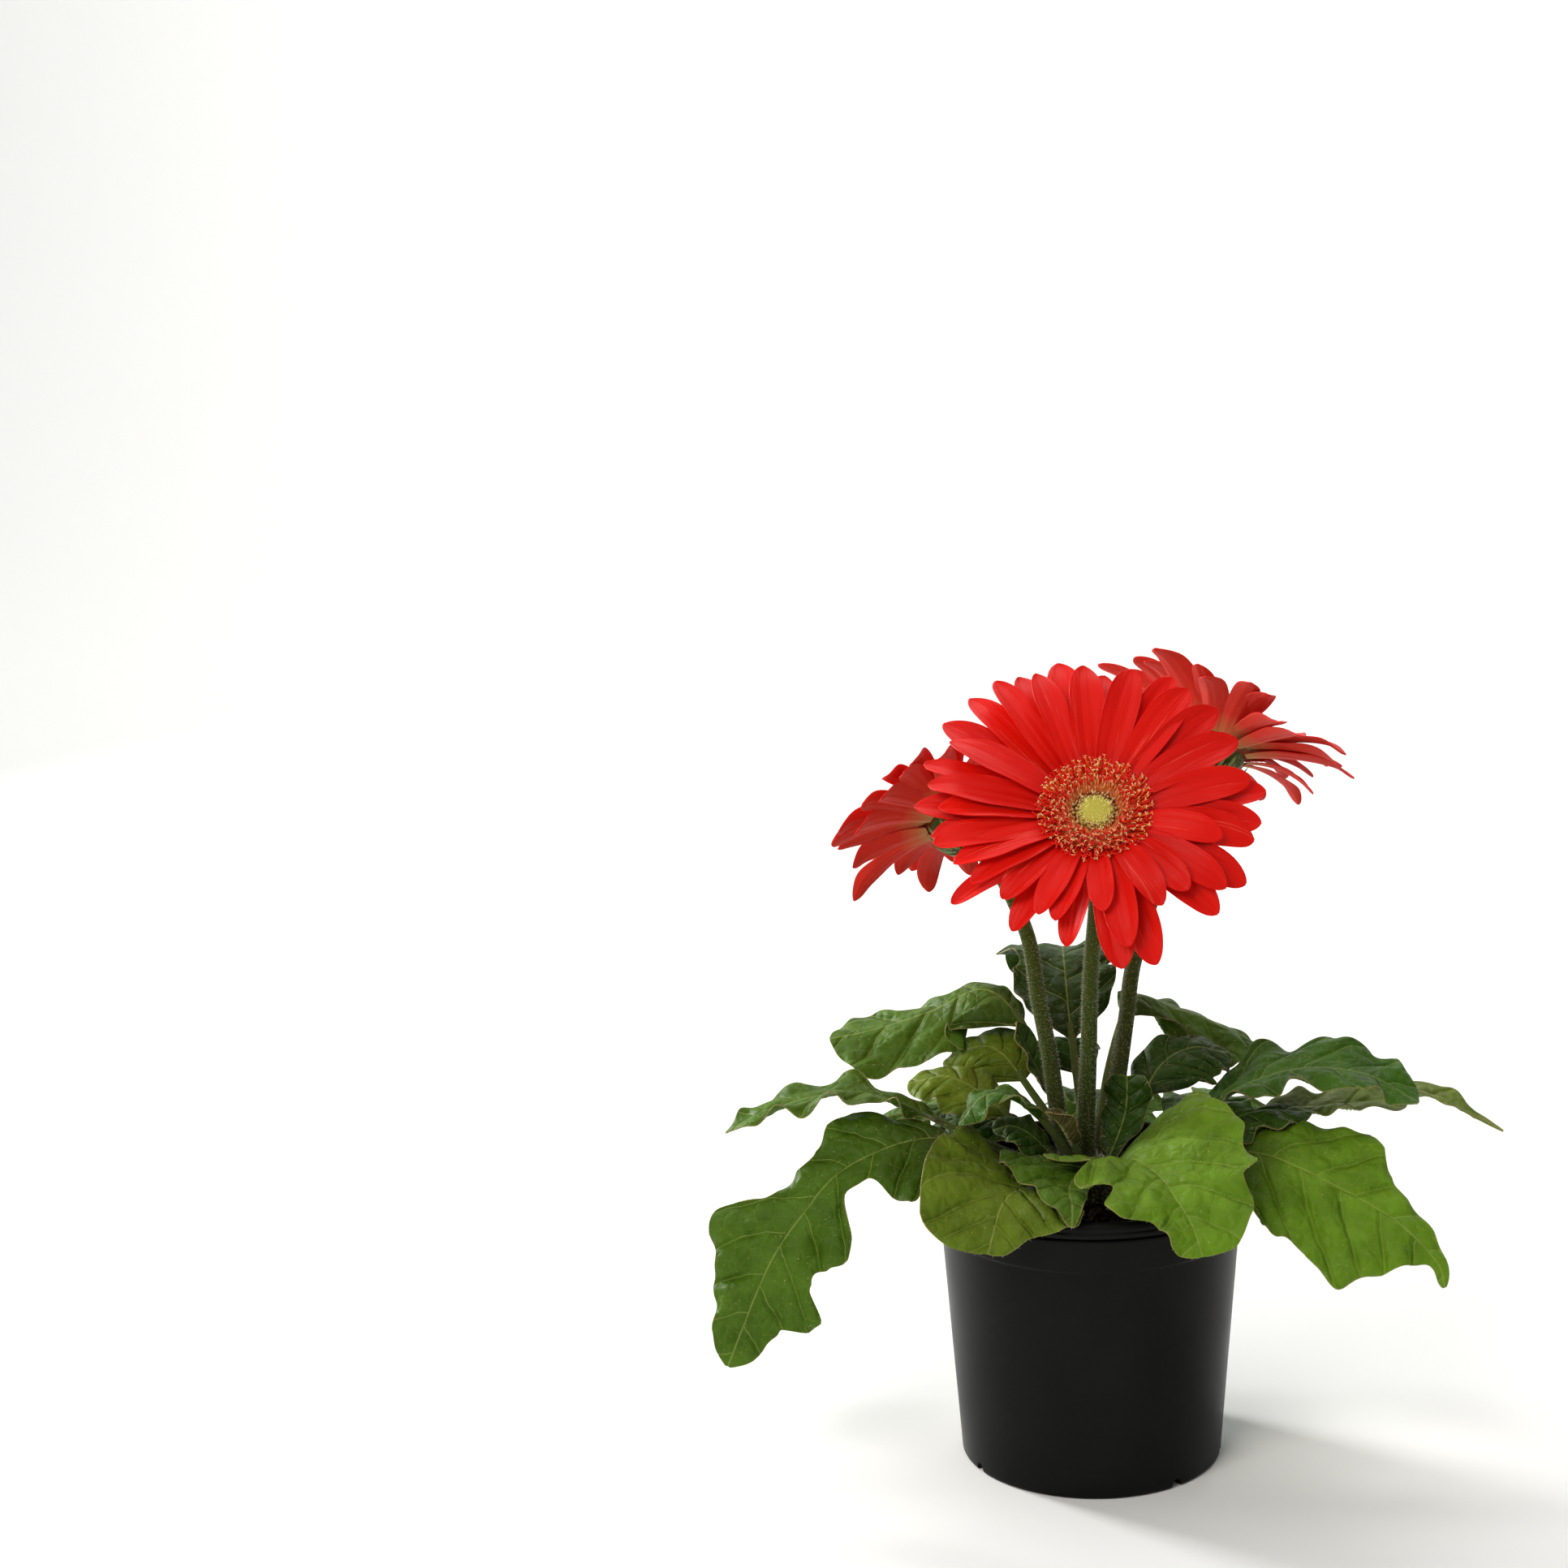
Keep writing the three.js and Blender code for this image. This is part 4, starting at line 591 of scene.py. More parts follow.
# %% The leaf table
# spine: x, y, z in mm; rows: place along the blade, half width left, half width right
LEAVES = {
    "leaf_front_left_long": {
        "spine": [
            [-6, -1, 99], [-34, -8, 116], [-60, -14, 123], [-87, -24, 115], [-103, -32, 99],
            [-115, -38, 81], [-129, -42, 47],
        ],
        "rows": [
            [0, 4, 4], [0.06, 22, 8], [0.14, 27, 14], [0.22, 20, 20], [0.29, 8, 18], [0.37, 9, 12],
            [0.44, 21, 12], [0.51, 24, 15], [0.55, 20, 21], [0.6, 17, 28], [0.65, 18, 25],
            [0.7, 27, 20], [0.76, 23, 17], [0.82, 13, 13], [0.92, 9, 9], [1, 3, 3],
        ],
        "neck": 0.27, "fold": [-2, 0], "bank": [-22, -62], "wave": [1.2, 3, 0.1], "tone": "open",
    },
    "leaf_front_left_broad": {
        "spine": [[-4, -5, 99], [-12, -17, 106], [-22, -34, 112], [-30, -50, 112], [-35, -62, 98]],
        "rows": [
            [0, 7, 12], [0.08, 17, 25], [0.2, 24, 31], [0.4, 29, 31], [0.55, 26, 29], [0.68, 19, 26],
            [0.8, 13, 23], [0.9, 9, 18], [1, 4, 9],
        ],
        "neck": 0.3, "fold": [4, -3], "bank": [-10, -10], "cup": [0, 10],
        "wave": [0.8, 2, 0.6], "tone": "old",
    },
    "leaf_front_small": {
        "spine": [
            [-0.6, -6, 99], [-0.4, -14, 110], [-4, -30, 116], [-7, -46, 116], [-6, -58, 114.5],
            [-6, -65, 109],
        ],
        "rows": [
            [0, 3, 7], [0.08, 3, 20], [0.18, 5, 28], [0.3, 6, 27], [0.42, 7, 21], [0.5, 7, 18],
            [0.58, 7, 12], [0.68, 6, 10], [0.82, 4, 6], [1, 1, 1],
        ],
        "neck": 0.25, "fold": [5, -4], "bank": [-10, 0], "wave": [0.4, 2, 0], "tone": "open",
    },
    "leaf_front_right": {
        "spine": [
            [3, -5, 99], [8, -11, 111], [15, -25, 119.5], [23, -39, 119.5], [29, -52, 116],
            [35, -64, 109], [38, -71, 101],
        ],
        "rows": [
            [0, 6, 2], [0.08, 28, 27], [0.17, 38, 33], [0.26, 34, 19], [0.34, 36, 32], [0.42, 35, 32],
            [0.5, 31, 20], [0.59, 31, 27], [0.66, 24, 24], [0.74, 24, 13], [0.85, 19, 11],
            [0.94, 13, 9], [1, 6, 5],
        ],
        "neck": 0.14, "fold": [22, 4], "bank": [13, 8], "wave": [1.1, 3, 0.3], "tone": "sunlit",
    },
    "leaf_right_down": {
        "spine": [
            [5.4, -2.5, 98.5], [40, -6, 114], [61, -12, 117], [81, -20, 111], [106, -32, 100],
            [120, -38, 87], [123, -40, 78],
        ],
        "rows": [
            [0, 5, 5], [0.08, 14, 23], [0.18, 19, 30], [0.3, 24, 29], [0.38, 26, 29], [0.45, 22, 32],
            [0.55, 14, 34], [0.64, 10, 27], [0.74, 8, 18], [0.82, 6, 9], [0.89, 4, 3], [1, 2, 2],
        ],
        "neck": 0.34, "fold": [0, -6], "bank": [30, 38], "wave": [1, 2, 0.4], "tone": "sunlit",
    },
    "leaf_right_upper": {
        "spine": [
            [5.5, 2, 103], [32, 9, 118], [52, 14, 132], [75, 12, 141], [99, 6, 141], [117, 0, 132],
        ],
        "rows": [
            [0, 4, 4], [0.12, 14, 6], [0.22, 20, 13], [0.33, 24, 16], [0.41, 19, 14], [0.5, 26, 18],
            [0.58, 20, 15], [0.76, 21, 16], [0.85, 14, 11], [0.93, 10, 8], [1, 3, 2],
        ],
        "neck": 0.28, "fold": [2, 0], "bank": [8, 6], "wave": [2.8, 3.5, 0.2], "tone": "young",
    },
    "leaf_right_far": {
        "spine": [
            [5.5, 2.5, 99], [41, 20, 115], [65, 28, 120], [89, 30, 121], [112, 29, 124],
            [126, 27, 126], [150, 22, 114],
        ],
        "rows": [
            [0, 3, 3], [0.14, 12, 12], [0.3, 16, 16], [0.4, 11, 11], [0.52, 14, 15], [0.62, 9, 9],
            [0.72, 8, 9], [0.84, 4, 4], [1, 1, 1],
        ],
        "neck": 0.42, "fold": [8, 10], "bank": [0, 0], "wave": [1.6, 3, 0], "tone": "turned",
    },
    "leaf_right_low": {
        "spine": [[6, 0, 99.5], [29, 3, 113], [46, 5, 121.5], [62, 7, 127], [80, 7, 126]],
        "rows": [
            [0, 3, 3], [0.2, 4, 11], [0.38, 5, 16], [0.52, 4, 13], [0.7, 5, 15], [0.85, 4, 10],
            [1, 2, 2],
        ],
        "neck": 0.35, "fold": [-6, -8], "bank": [10, 0], "wave": [1, 2, 0.5], "tone": "shaded",
    },
    "leaf_back_right": {
        "spine": [
            [2.7, 7.1, 104.2], [7.2, 24, 136], [17, 46, 157], [33, 60, 149], [55, 67, 138],
            [76, 70, 124],
        ],
        "rows": [
            [0, 3, 10], [0.1, 10, 24], [0.2, 15, 29], [0.3, 17, 30], [0.42, 12, 24], [0.56, 17, 25],
            [0.68, 12, 19], [0.8, 13, 17], [0.92, 7, 9], [1, 2, 2],
        ],
        "neck": 0.42, "fold": [-30, -14], "bank": [20, 8], "wave": [2.2, 3, 0.1], "tone": "open",
    },
    "leaf_back": {
        "spine": [
            [0.2, 6, 106], [-3.4, 18, 129], [-7, 40, 152], [-9, 66, 167], [-10, 92, 164],
            [-11, 112, 146],
        ],
        "rows": [
            [0, 5, 5], [0.1, 15, 14], [0.24, 20, 19], [0.36, 17, 16], [0.5, 25, 24], [0.62, 19, 20],
            [0.76, 22, 21], [0.88, 13, 13], [1, 2, 2],
        ],
        "neck": 0.34, "fold": [8, -8], "bank": [0, 0], "wave": [2, 3, 0.2], "tone": "shaded",
    },
    "leaf_back_left": {
        "spine": [
            [-1.5, 6.9, 100], [-15, 26, 132], [-27, 39, 154], [-40, 49, 160], [-58, 52, 151],
            [-78, 52, 144], [-97, 50, 140],
        ],
        "rows": [
            [0, 8, 4], [0.06, 19, 7], [0.15, 23, 8], [0.3, 24, 9], [0.42, 21, 8], [0.56, 23, 14],
            [0.68, 21, 13], [0.82, 22, 15], [0.93, 12, 10], [1, 3, 3],
        ],
        "neck": 0.42, "fold": [-25, -12], "bank": [-28, -20], "wave": [1.8, 3, 0.6], "tone": "open",
    },
    "leaf_left_wavy": {
        "spine": [
            [-6, 0.2, 103.5], [-42, -1, 119], [-64, 1, 130], [-83, 0, 136], [-100, -3, 135],
            [-118, -6, 130], [-131, -8, 123],
        ],
        "rows": [
            [0, 3, 3], [0.1, 8, 5], [0.2, 14, 6], [0.3, 10, 7], [0.42, 16, 13], [0.52, 11, 10],
            [0.64, 14, 13], [0.76, 9, 8], [0.86, 8, 8], [1, 1, 1],
        ],
        "neck": 0.36, "fold": [6, 4], "bank": [0, 0], "wave": [2.6, 4, 0.3], "tone": "open",
    },
    "leaf_left_olive": {
        "spine": [
            [-6, -2.6, 107], [-16, -2.4, 115], [-26, 2, 123], [-39, 9.6, 132.5], [-52, 15, 137],
            [-66, 18, 133],
        ],
        "rows": [
            [0, 4, 5], [0.12, 13, 10], [0.3, 15, 11.5], [0.45, 14, 10], [0.55, 12, 8], [0.72, 12, 9],
            [0.88, 8, 7], [1, 3, 3],
        ],
        "neck": 0.42, "fold": [-14, -12], "bank": [-20, -20], "wave": [1, 2, 0], "tone": "old",
    },
    "leaf_left_olive_back": {
        "spine": [
            [-3.2, 5.6, 107.4], [-9, 11.4, 114], [-20, 20, 128], [-32, 30.5, 141], [-42, 36, 141.5],
            [-54, 40, 134],
        ],
        "rows": [
            [0, 4, 8], [0.12, 12, 15], [0.28, 15, 15], [0.42, 15, 13], [0.56, 12, 11], [0.74, 11, 10],
            [1, 2, 2],
        ],
        "neck": 0.48, "fold": [-14, -12], "bank": [-30, -28], "wave": [1, 2, 0.3], "tone": "old",
    },
    "leaf_young_fold": {
        "spine": [
            [-4.5, -4.5, 108], [-12, -10, 123], [-24, -15, 138], [-37, -19, 141], [-46, -25, 132],
        ],
        "rows": [
            [0, 3, 3], [0.2, 7, 8], [0.36, 10, 10], [0.5, 7, 6], [0.68, 10, 8], [0.86, 6, 5],
            [1, 1, 1],
        ],
        "neck": 0.4, "fold": [16, -26], "bank": [0, 0], "wave": [1.4, 3, 0.1], "tone": "young",
    },
    "leaf_front_mid": {
        "spine": [
            [-4, -4.5, 102.5], [-11, -7.4, 111.5], [-20, -9.2, 122.4], [-28, -9.6, 126.6],
            [-34, -11, 125],
        ],
        "rows": [[0, 4, 3], [0.2, 10, 7], [0.42, 12, 9], [0.58, 10, 6], [0.76, 8, 6], [1, 2, 2]],
        "neck": 0.4, "fold": [2, -4], "bank": [-30, -16], "wave": [0.6, 2, 0], "tone": "shaded",
    },
    "leaf_centre_right": {
        "spine": [[4.2, -3.6, 106], [7.5, -2.6, 113], [13, 5, 126], [14, 9, 139]],
        "rows": [[0, 3, 3], [0.2, 6, 5], [0.45, 9, 10], [0.6, 8, 9], [0.8, 9, 11], [1, 5, 6]],
        "neck": 0.16, "fold": [10, 4], "bank": [0, 0], "wave": [0.8, 2, 0], "tone": "shaded",
    },
    "leaf_bud": {
        "spine": [[-1.6, -6, 107], [-5, -12, 120], [-10, -15, 130], [-15, -17, 134]],
        "rows": [[0, 2, 2], [0.25, 5, 5], [0.5, 6, 6], [0.75, 4, 4], [1, 1, 1]],
        "neck": 0.45, "fold": [40, 30], "bank": [0, 0], "wave": [0.4, 2, 0], "tone": "unopened",
    },
    "leaf_right_mid": {
        "spine": [[6, -1, 107], [15, 7, 120], [25, 23, 137], [38, 31, 143], [52, 36, 139]],
        "rows": [[0, 4, 5], [0.2, 11, 17], [0.42, 11, 20], [0.6, 9, 15], [0.78, 10, 15], [1, 2, 2]],
        "neck": 0.42, "fold": [-8, -8], "bank": [26, 16], "wave": [1.2, 2, 0.4], "tone": "shaded",
    },
    "leaf_back_low": {
        "spine": [[0.5, 7.6, 101.2], [-1.5, 18, 119], [-5, 33, 134], [-7, 51, 140], [-7, 68, 131]],
        "rows": [
            [0, 5, 4], [0.15, 15, 10], [0.35, 18, 11], [0.5, 14, 9], [0.7, 17, 9], [0.88, 10, 6],
            [1, 2, 2],
        ],
        "neck": 0.5, "fold": [-6, -10], "bank": [0, 0], "wave": [1.6, 2.5, 0.4], "tone": "shaded",
    },
    "leaf_left_dark": {
        "spine": [
            [-1.6, 3.6, 110], [-9.5, 12.2, 123], [-17, 16.5, 136], [-23, 19, 148], [-26, 20, 156],
        ],
        "rows": [[0, 3, 3], [0.2, 7, 8], [0.42, 8, 9], [0.58, 6, 6], [0.76, 7, 7], [1, 1, 1]],
        "neck": 0.4, "fold": [16, 10], "bank": [0, 0], "wave": [0.8, 2, 0], "tone": "shaded",
    },
    "leaf_left_low": {
        "spine": [[-4.6, 5, 102.1], [-17, 10.6, 112.6], [-32, 15, 119], [-46, 15, 121], [-58, 13, 117]],
        "rows": [[0, 4, 3], [0.2, 11, 9], [0.42, 12, 11], [0.58, 9, 8], [0.76, 10, 9], [1, 2, 2]],
        "neck": 0.36, "fold": [-8, -10], "bank": [-16, -10], "wave": [1, 2, 0.3], "tone": "shaded",
    },
    "leaf_rear": {
        "spine": [[0.5, 6, 98.7], [3, 30, 112.7], [5, 58, 117], [7, 88, 104], [8, 108, 78]],
        "rows": [
            [0, 3, 3], [0.12, 13, 13], [0.26, 19, 19], [0.37, 14, 14], [0.52, 24, 23], [0.63, 18, 18],
            [0.76, 22, 22], [0.88, 13, 13], [1, 3, 3],
        ],
        "neck": 0.32, "fold": [-6, -8], "bank": [0, 0], "wave": [2, 3, 0.5], "tone": "open",
    },
    "leaf_rear_left": {
        "spine": [[-5, 3, 98.5], [-26, 23, 112], [-48, 46, 117], [-72, 68, 106], [-86, 82, 82]],
        "rows": [
            [0, 3, 3], [0.12, 13, 13], [0.26, 20, 19], [0.37, 14, 14], [0.52, 23, 24], [0.63, 18, 18],
            [0.76, 21, 21], [0.88, 12, 12], [1, 3, 3],
        ],
        "neck": 0.32, "fold": [-6, -8], "bank": [0, 0], "wave": [2, 3, 0.2], "tone": "open",
    },
    "leaf_rear_right": {
        "spine": [[4, 5, 99], [26, 30, 112], [44, 56, 115], [62, 82, 104], [72, 96, 80]],
        "rows": [
            [0, 3, 3], [0.12, 12, 12], [0.26, 18, 19], [0.37, 13, 14], [0.52, 22, 22], [0.63, 17, 17],
            [0.76, 20, 20], [0.88, 12, 12], [1, 3, 3],
        ],
        "neck": 0.32, "fold": [-6, -8], "bank": [0, 0], "wave": [2, 3, 0.8], "tone": "open",
    },
}
longest = max(Spine(leaf["spine"]).lengths[-1] for leaf in LEAVES.values())
print(len(LEAVES), "leaves, the longest", round(longest), "mm")

# %% [markdown]
# ## From outline to blade
# The blade's surface is worked out for a grid of places at once: `along` runs from the foot of the blade
# to its tip and `across` from its left margin to its right. A blade could be sculpted by hand, but a rule
# serves all the leaves and keeps them on their solids. The coarse form is the solid's: the axes, the
# outline, the fold and the wave. The fine form is added along the normal.

# %% The blade's axes
def blade_axes(leaf, spine, along):
    """For each place along the blade: a point, the tangent, the side direction and the normal."""
    neck = leaf["neck"]
    u = mix(neck, 1, along)
    heading = (spine.at(1) - spine.at(neck))[0]
    heading[2] = 0
    tangent = spine.tangent(np.minimum(u, NEAR_END))
    side = square_to(tangent, np.cross(unit(heading), [0, 0, 1]))
    bank = np.radians(mix(*leaf["bank"], along))[:, None]
    side = side * np.cos(bank) + np.cross(tangent, side) * np.sin(bank)
    return spine.at(u), tangent, side, np.cross(side, tangent)


first = LEAVES["leaf_front_left_long"]
foot = blade_axes(first, Spine(first["spine"]), np.zeros(1))[0][0]
print("the first leaf's blade starts at", [round(v) for v in foot], "mm")

# %% [markdown]
# ## Margin and wave
# The outline comes from the table. Faint teeth break its smooth lobes, its foot narrows into the petiole
# and its tip is rounded off. The wave of the margin is the solid's, and grows with the width.

# %% Margin and wave
TOOTH, TOOTH_LONG = 0.85, 11.0  # depth and spacing
TOOTH_DRIFT = 15  # mm over which the spacing wanders
FULL_WIDE = 12  # half width from which teeth, ruffles and waves have their full size
FOOT_SHARE, FOOT_FROM, FOOT_TO = 0.25, -0.01, 0.05  # the foot's width, and where along it widens
TIP_FROM, TIP_LONG, TIP_LEAST = 0.95, 0.052, 0.01  # where along the tip rounds off
RIPPLE_LAG = 0.37  # waves between the right margin and the left
SIDE_PHASE = 2.3  # shift between the patterns of a leaf's two sides


def margin_line(leaf, along, mm, left, own, fade):
    """Distance from the midrib to the margin, on the left side and on the right."""
    left_line, right_line = (smooth_rows(leaf["rows"], column, along)[:, None] for column in (1, 2))
    edge = np.where(left, left_line, right_line)
    drift = 0.5 * np.sin(mm / TOOTH_DRIFT + own)
    teeth = 0.5 - np.abs(np.sin(np.pi * (mm / TOOTH_LONG + own + drift)))
    edge = edge + TOOTH * teeth * np.minimum(1, edge / FULL_WIDE) * fade
    edge = edge * mix(FOOT_SHARE, 1, ease(along, FOOT_FROM, FOOT_TO))[:, None]
    past = np.clip(along - TIP_FROM, 0, 1) / TIP_LONG
    return edge * np.sqrt(np.clip(1 - past**2, TIP_LEAST, 1))[:, None]


def wave_of(leaf, along, across, half, fade):
    """Height of the margin's wave, and of its curl where the leaf has one."""
    height, waves, phase = leaf["wave"]
    turns = waves * along[:, None] + phase + np.where(across > 0, RIPPLE_LAG, 0)
    ripple = height * np.minimum(1, half / FULL_WIDE) * np.sin(2 * np.pi * turns)
    curl = np.where(across < 0, *leaf.get("cup", (0, 0)))
    return (ripple + curl) * across**2 * fade


print("teeth of", TOOTH, "mm every", TOOTH_LONG, "mm")

# %% [markdown]
# ## Veins and pads
# Side veins leave the midrib and bend towards the tip. Between two of them the blade puffs up into pads,
# and short cross veins split each pad. Slow swells keep the pads from looking alike, and the margin
# ruffles in waves of its own. A bump in the material could fake the pads, but not on the outline, so they
# are in the mesh. All of it dies away at the foot and the tip.

# %% Veins and pads
VEIN_SPACING, FEWEST_VEINS = 16, 5  # mm between side veins, and how many a short blade has at least
VEIN_SLANT, VEIN_BEND = 0.4, 0.011  # how a side vein runs forward as it runs out
VEIN_STAGGER = 0.35  # of the spacing, between the veins of the two sides
CROSS_SPACING, CROSS_DIP = 9, 0.6  # mm between cross veins, and the height that is left on them
PUFF, PUFF_MIDDLE, PUFF_WIDE = 4.3, 0.4, 9  # height of the pads, the level they swing round, full from here
PAD_ROUND, CROSS_ROUND = 0.85, 0.8  # below 1 a pad is flat on top and its vein narrow
SWELL = 0.7  # slow unevenness across the pads
RUFFLE, RUFFLE_LONG, RUFFLE_DRIFT = 1.3, 12.5, 17  # height, length, and the length over which it wanders
RIB_SUNK, RIB_SUNK_WIDE = 0.5, 1.3  # the midrib's groove


def veins_and_pads(length, mm, half, across, own):
    """The count of side veins passed, and the height of the pads as a share."""
    spacing = min(VEIN_SPACING, length / FEWEST_VEINS)
    stagger = np.where(across > 0, VEIN_STAGGER, 0)
    count = (mm - VEIN_SLANT * half - VEIN_BEND * half**2) / spacing + stagger + 0.5
    pads = np.abs(np.sin(np.pi * (count - 0.5))) ** PAD_ROUND
    crossing = half / CROSS_SPACING + 0.5 * np.sin(2.4 * np.floor(count - 0.5) + own)
    return count, pads * mix(CROSS_DIP, 1, np.abs(np.sin(np.pi * crossing)) ** CROSS_ROUND)


def relief_of(pads, mm, half, across, edge, own):
    """Height of pads, swells, ruffles and the midrib's groove."""
    inward = np.abs(across) ** 0.7 * (1 - np.abs(across) ** 3)
    scale = np.minimum(1, half / PUFF_WIDE)
    # swells some 26 to 41 mm long, which cross each other
    swell = np.sin(mm / 6.5 + 2 * np.sin(half / 6 + own)) + 0.7 * np.sin(mm / 4.1 - half / 4.6 + 3 * own)
    flow = mm / RUFFLE_LONG + 1.7 * own + 0.35 * np.sin(mm / RUFFLE_DRIFT)
    ruffle = across**4 * np.sin(2 * np.pi * flow) * np.minimum(1, edge / FULL_WIDE)
    return (
        PUFF * scale * inward * (pads - PUFF_MIDDLE)
        + SWELL * scale * swell * (1 - across**4)
        + RUFFLE * ruffle
        - RIB_SUNK * np.exp(-((half / RIB_SUNK_WIDE) ** 2))
    )


print("side veins every", VEIN_SPACING, "mm and cross veins every", CROSS_SPACING, "mm")

# %% The whole surface
SWEEP = 0.25  # margins point this much towards the tip
FADE = 8  # the fine form dies away over 1/8 of the blade at each end


def blade_surface(leaf, spine, along, across):
    """Middle surface (n, m, 3), and for each place its side distance, vein count and margin distance."""
    at, tangent, side, normal = blade_axes(leaf, spine, along)
    length = spine.lengths[-1] * (1 - leaf["neck"])
    mm = along[:, None] * length
    own = 7 * draw(leaf["seed"], 1) + SIDE_PHASE * (across[None, :] > 0)
    fade = np.minimum(1, np.minimum(along, 1 - along) * FADE)[:, None]
    edge = margin_line(leaf, along, mm, across[None, :] < 0, own, fade)
    half = edge * np.abs(across)
    lift = np.radians(mix(*leaf["fold"], along))[:, None]
    count, pads = veins_and_pads(length, mm, half, across, own)
    rise = half * np.sin(lift) + wave_of(leaf, along, across, half, fade)
    rise = rise + relief_of(pads, mm, half, across, edge, own) * fade
    surface = (
        at[:, None]
        + side[:, None] * (half * np.cos(lift) * np.sign(across))[..., None]
        + normal[:, None] * rise[..., None]
        + tangent[:, None] * (half * SWEEP)[..., None]
    )
    return surface, half * np.sign(across), count, edge - half


def grid_normals(surface):
    run = np.gradient(surface, axis=0)
    span = np.gradient(surface, axis=1)
    return unit(np.cross(span, run))


def both(grid):
    """Values for the upper side, and again for the lower one, which runs back."""
    return np.concatenate([grid, grid[:, ::-1]], axis=1)


print("blade surface ready")

# %% [markdown]
# ## One leaf
# The blade is a sheet with two finishes, thinner at its margin and thicker under its rib and veins, which
# stand out on the back. The petiole is a tube with a shallow channel on top. Both go into one mesh. Its
# `downy` attribute says where hairs grow later: thickly on the margin and petiole and hardly at all on
# the blade.

# %% A leaf's blade and petiole
ALONG_STEP, RINGS = 0.95, (36, 135)  # mm between rings of a blade, and the fewest and most rings
ACROSS_STEP, HALF_POINTS = 1.5, (7, 21)  # mm between its points across, and how many on each side
TIP_RINGS, TIP_SHARE = 8, 0.94  # rings that close up on the tip, and where they begin
CROWDING = 1.15  # over 1 the points lie closer together at the midrib
LEAF_THICK, MARGIN_THIN, THIN_WIDE = 0.75, 0.55, 2.5
RIB_DEEP, RIB_WIDE, RIB_AT_TIP = 1.0, 0.95, 0.25
VEIN_DEEP, VEIN_WIDE, VEIN_FROM_MARGIN = 0.3, 0.06, 4
# painted shade: the foot of a blade, deep in the rosette, is darker green
SHADE_SHARE, SHADE_FROM, SHADE_TO = 0.4, -0.1, 0.45  # the foot of a blade is darker green
PETIOLE_R, PETIOLE_SIDES, PETIOLE_RINGS, PETIOLE_PAST = (1.9, 1.3), 14, 22, 0.05
CHANNEL_DEEP, CHANNEL_WIDE = 0.28, 0.5  # share of the radius, and radians
FAR_IN = 20  # mm from a margin: a petiole has none
DOWNY_EDGE, DOWNY_BLADE, DOWNY_PETIOLE = 0.4, 0.02, 0.35  # mm of thick down, and shares of it elsewhere


def add_blade(lofts, leaf, spine):
    length = spine.lengths[-1] * (1 - leaf["neck"])
    widest = max(max(row[1], row[2]) for row in leaf["rows"])
    n = int(np.clip(length / ALONG_STEP, *RINGS))
    m = int(np.clip(widest / ACROSS_STEP, *HALF_POINTS))
    closing = np.sin(np.linspace(0, np.pi / 2, TIP_RINGS + 1)[1:])
    along = np.concatenate([np.linspace(0, TIP_SHARE, n - TIP_RINGS), mix(TIP_SHARE, 1, closing)])
    half_line = np.linspace(0, 1, m + 1) ** CROWDING
    across = np.concatenate([-half_line[:0:-1], half_line])
    surface, out, count, margin = blade_surface(leaf, spine, along, across)

    normals = grid_normals(surface)
    thin = LEAF_THICK / 2 * mix(MARGIN_THIN, 1, ease(margin, 0, THIN_WIDE))[..., None]
    rib = RIB_DEEP * np.exp(-((out / RIB_WIDE) ** 2)) * mix(1, RIB_AT_TIP, along)[:, None]
    veins = VEIN_DEEP * np.exp(-(((count % 1 - 0.5) / VEIN_WIDE) ** 2)) * ease(margin, 0, VEIN_FROM_MARGIN)
    upper = surface + normals * thin
    lower = surface - normals * (thin + (rib + veins)[..., None])
    rings = np.concatenate([upper, lower[:, ::-1]], axis=1)
    tint = np.broadcast_to(colour(TONES[leaf["tone"]]), (*rings.shape[:2], 4)).copy()
    # painted shade darkens the tint towards the blade's foot
    tint[..., :3] *= mix(SHADE_SHARE, 1, ease(along, SHADE_FROM, SHADE_TO))[:, None, None]
    leaf_mm = np.stack([both(out), both(count), both(margin)], -1)
    downy = both(np.where(margin < DOWNY_EDGE, 1.0, DOWNY_BLADE))
    lofts.add(rings, two_sides(len(across)), leaf_mm=leaf_mm, leaf_tint=tint, downy=downy)


def add_petiole(lofts, leaf, spine):
    side = blade_axes(leaf, spine, np.zeros(1))[2][0]
    radius = lambda t: mix(*PETIOLE_R, t)
    channel = lambda angle, u: 1 - CHANNEL_DEEP * np.exp(-(((angle - math.pi / 2) / CHANNEL_WIDE) ** 2))
    end = leaf["neck"] + PETIOLE_PAST
    stalk = tube(spine, end, radius, channel, side, PETIOLE_SIDES, PETIOLE_RINGS)
    shape = stalk.shape[:2]
    no_lines = np.broadcast_to([0, 0, FAR_IN], (*shape, 3))
    plain = np.broadcast_to(colour(TONES[leaf["tone"]]), (*shape, 4))
    lofts.add(stalk, np.full(PETIOLE_SIDES, 2), leaf_mm=no_lines, leaf_tint=plain, downy=DOWNY_PETIOLE)


def add_leaf(lofts, leaf):
    spine = Spine(leaf["spine"])
    add_blade(lofts, leaf, spine)
    add_petiole(lofts, leaf, spine)


faces = 0
for seed, (name, leaf) in enumerate(LEAVES.items(), start=1):
    leaf["seed"] = seed
    lofts = Lofts()
    add_leaf(lofts, leaf)
    piece = put("fine_" + name, lofts.mesh(name, LEAF_FACE, LEAF_BACK, PETIOLE_FLESH), "leaf", name)
    faces += len(piece.data.polygons)
print("leaves:", faces, "faces")

# %% [markdown]
# ## Where each head stands
# A head has a place, a direction that it faces, and its petals, listed one by one as they are seen: the
# turn from the head's right hand side, the reach, and the height of the tip over the disc. The outer ones
# lie behind and the inner ones in front. Flower parts are modelled lying flat round the origin, facing up,
# and one matrix then stands them on their stem. Baking it into the mesh keeps objects at the origin.

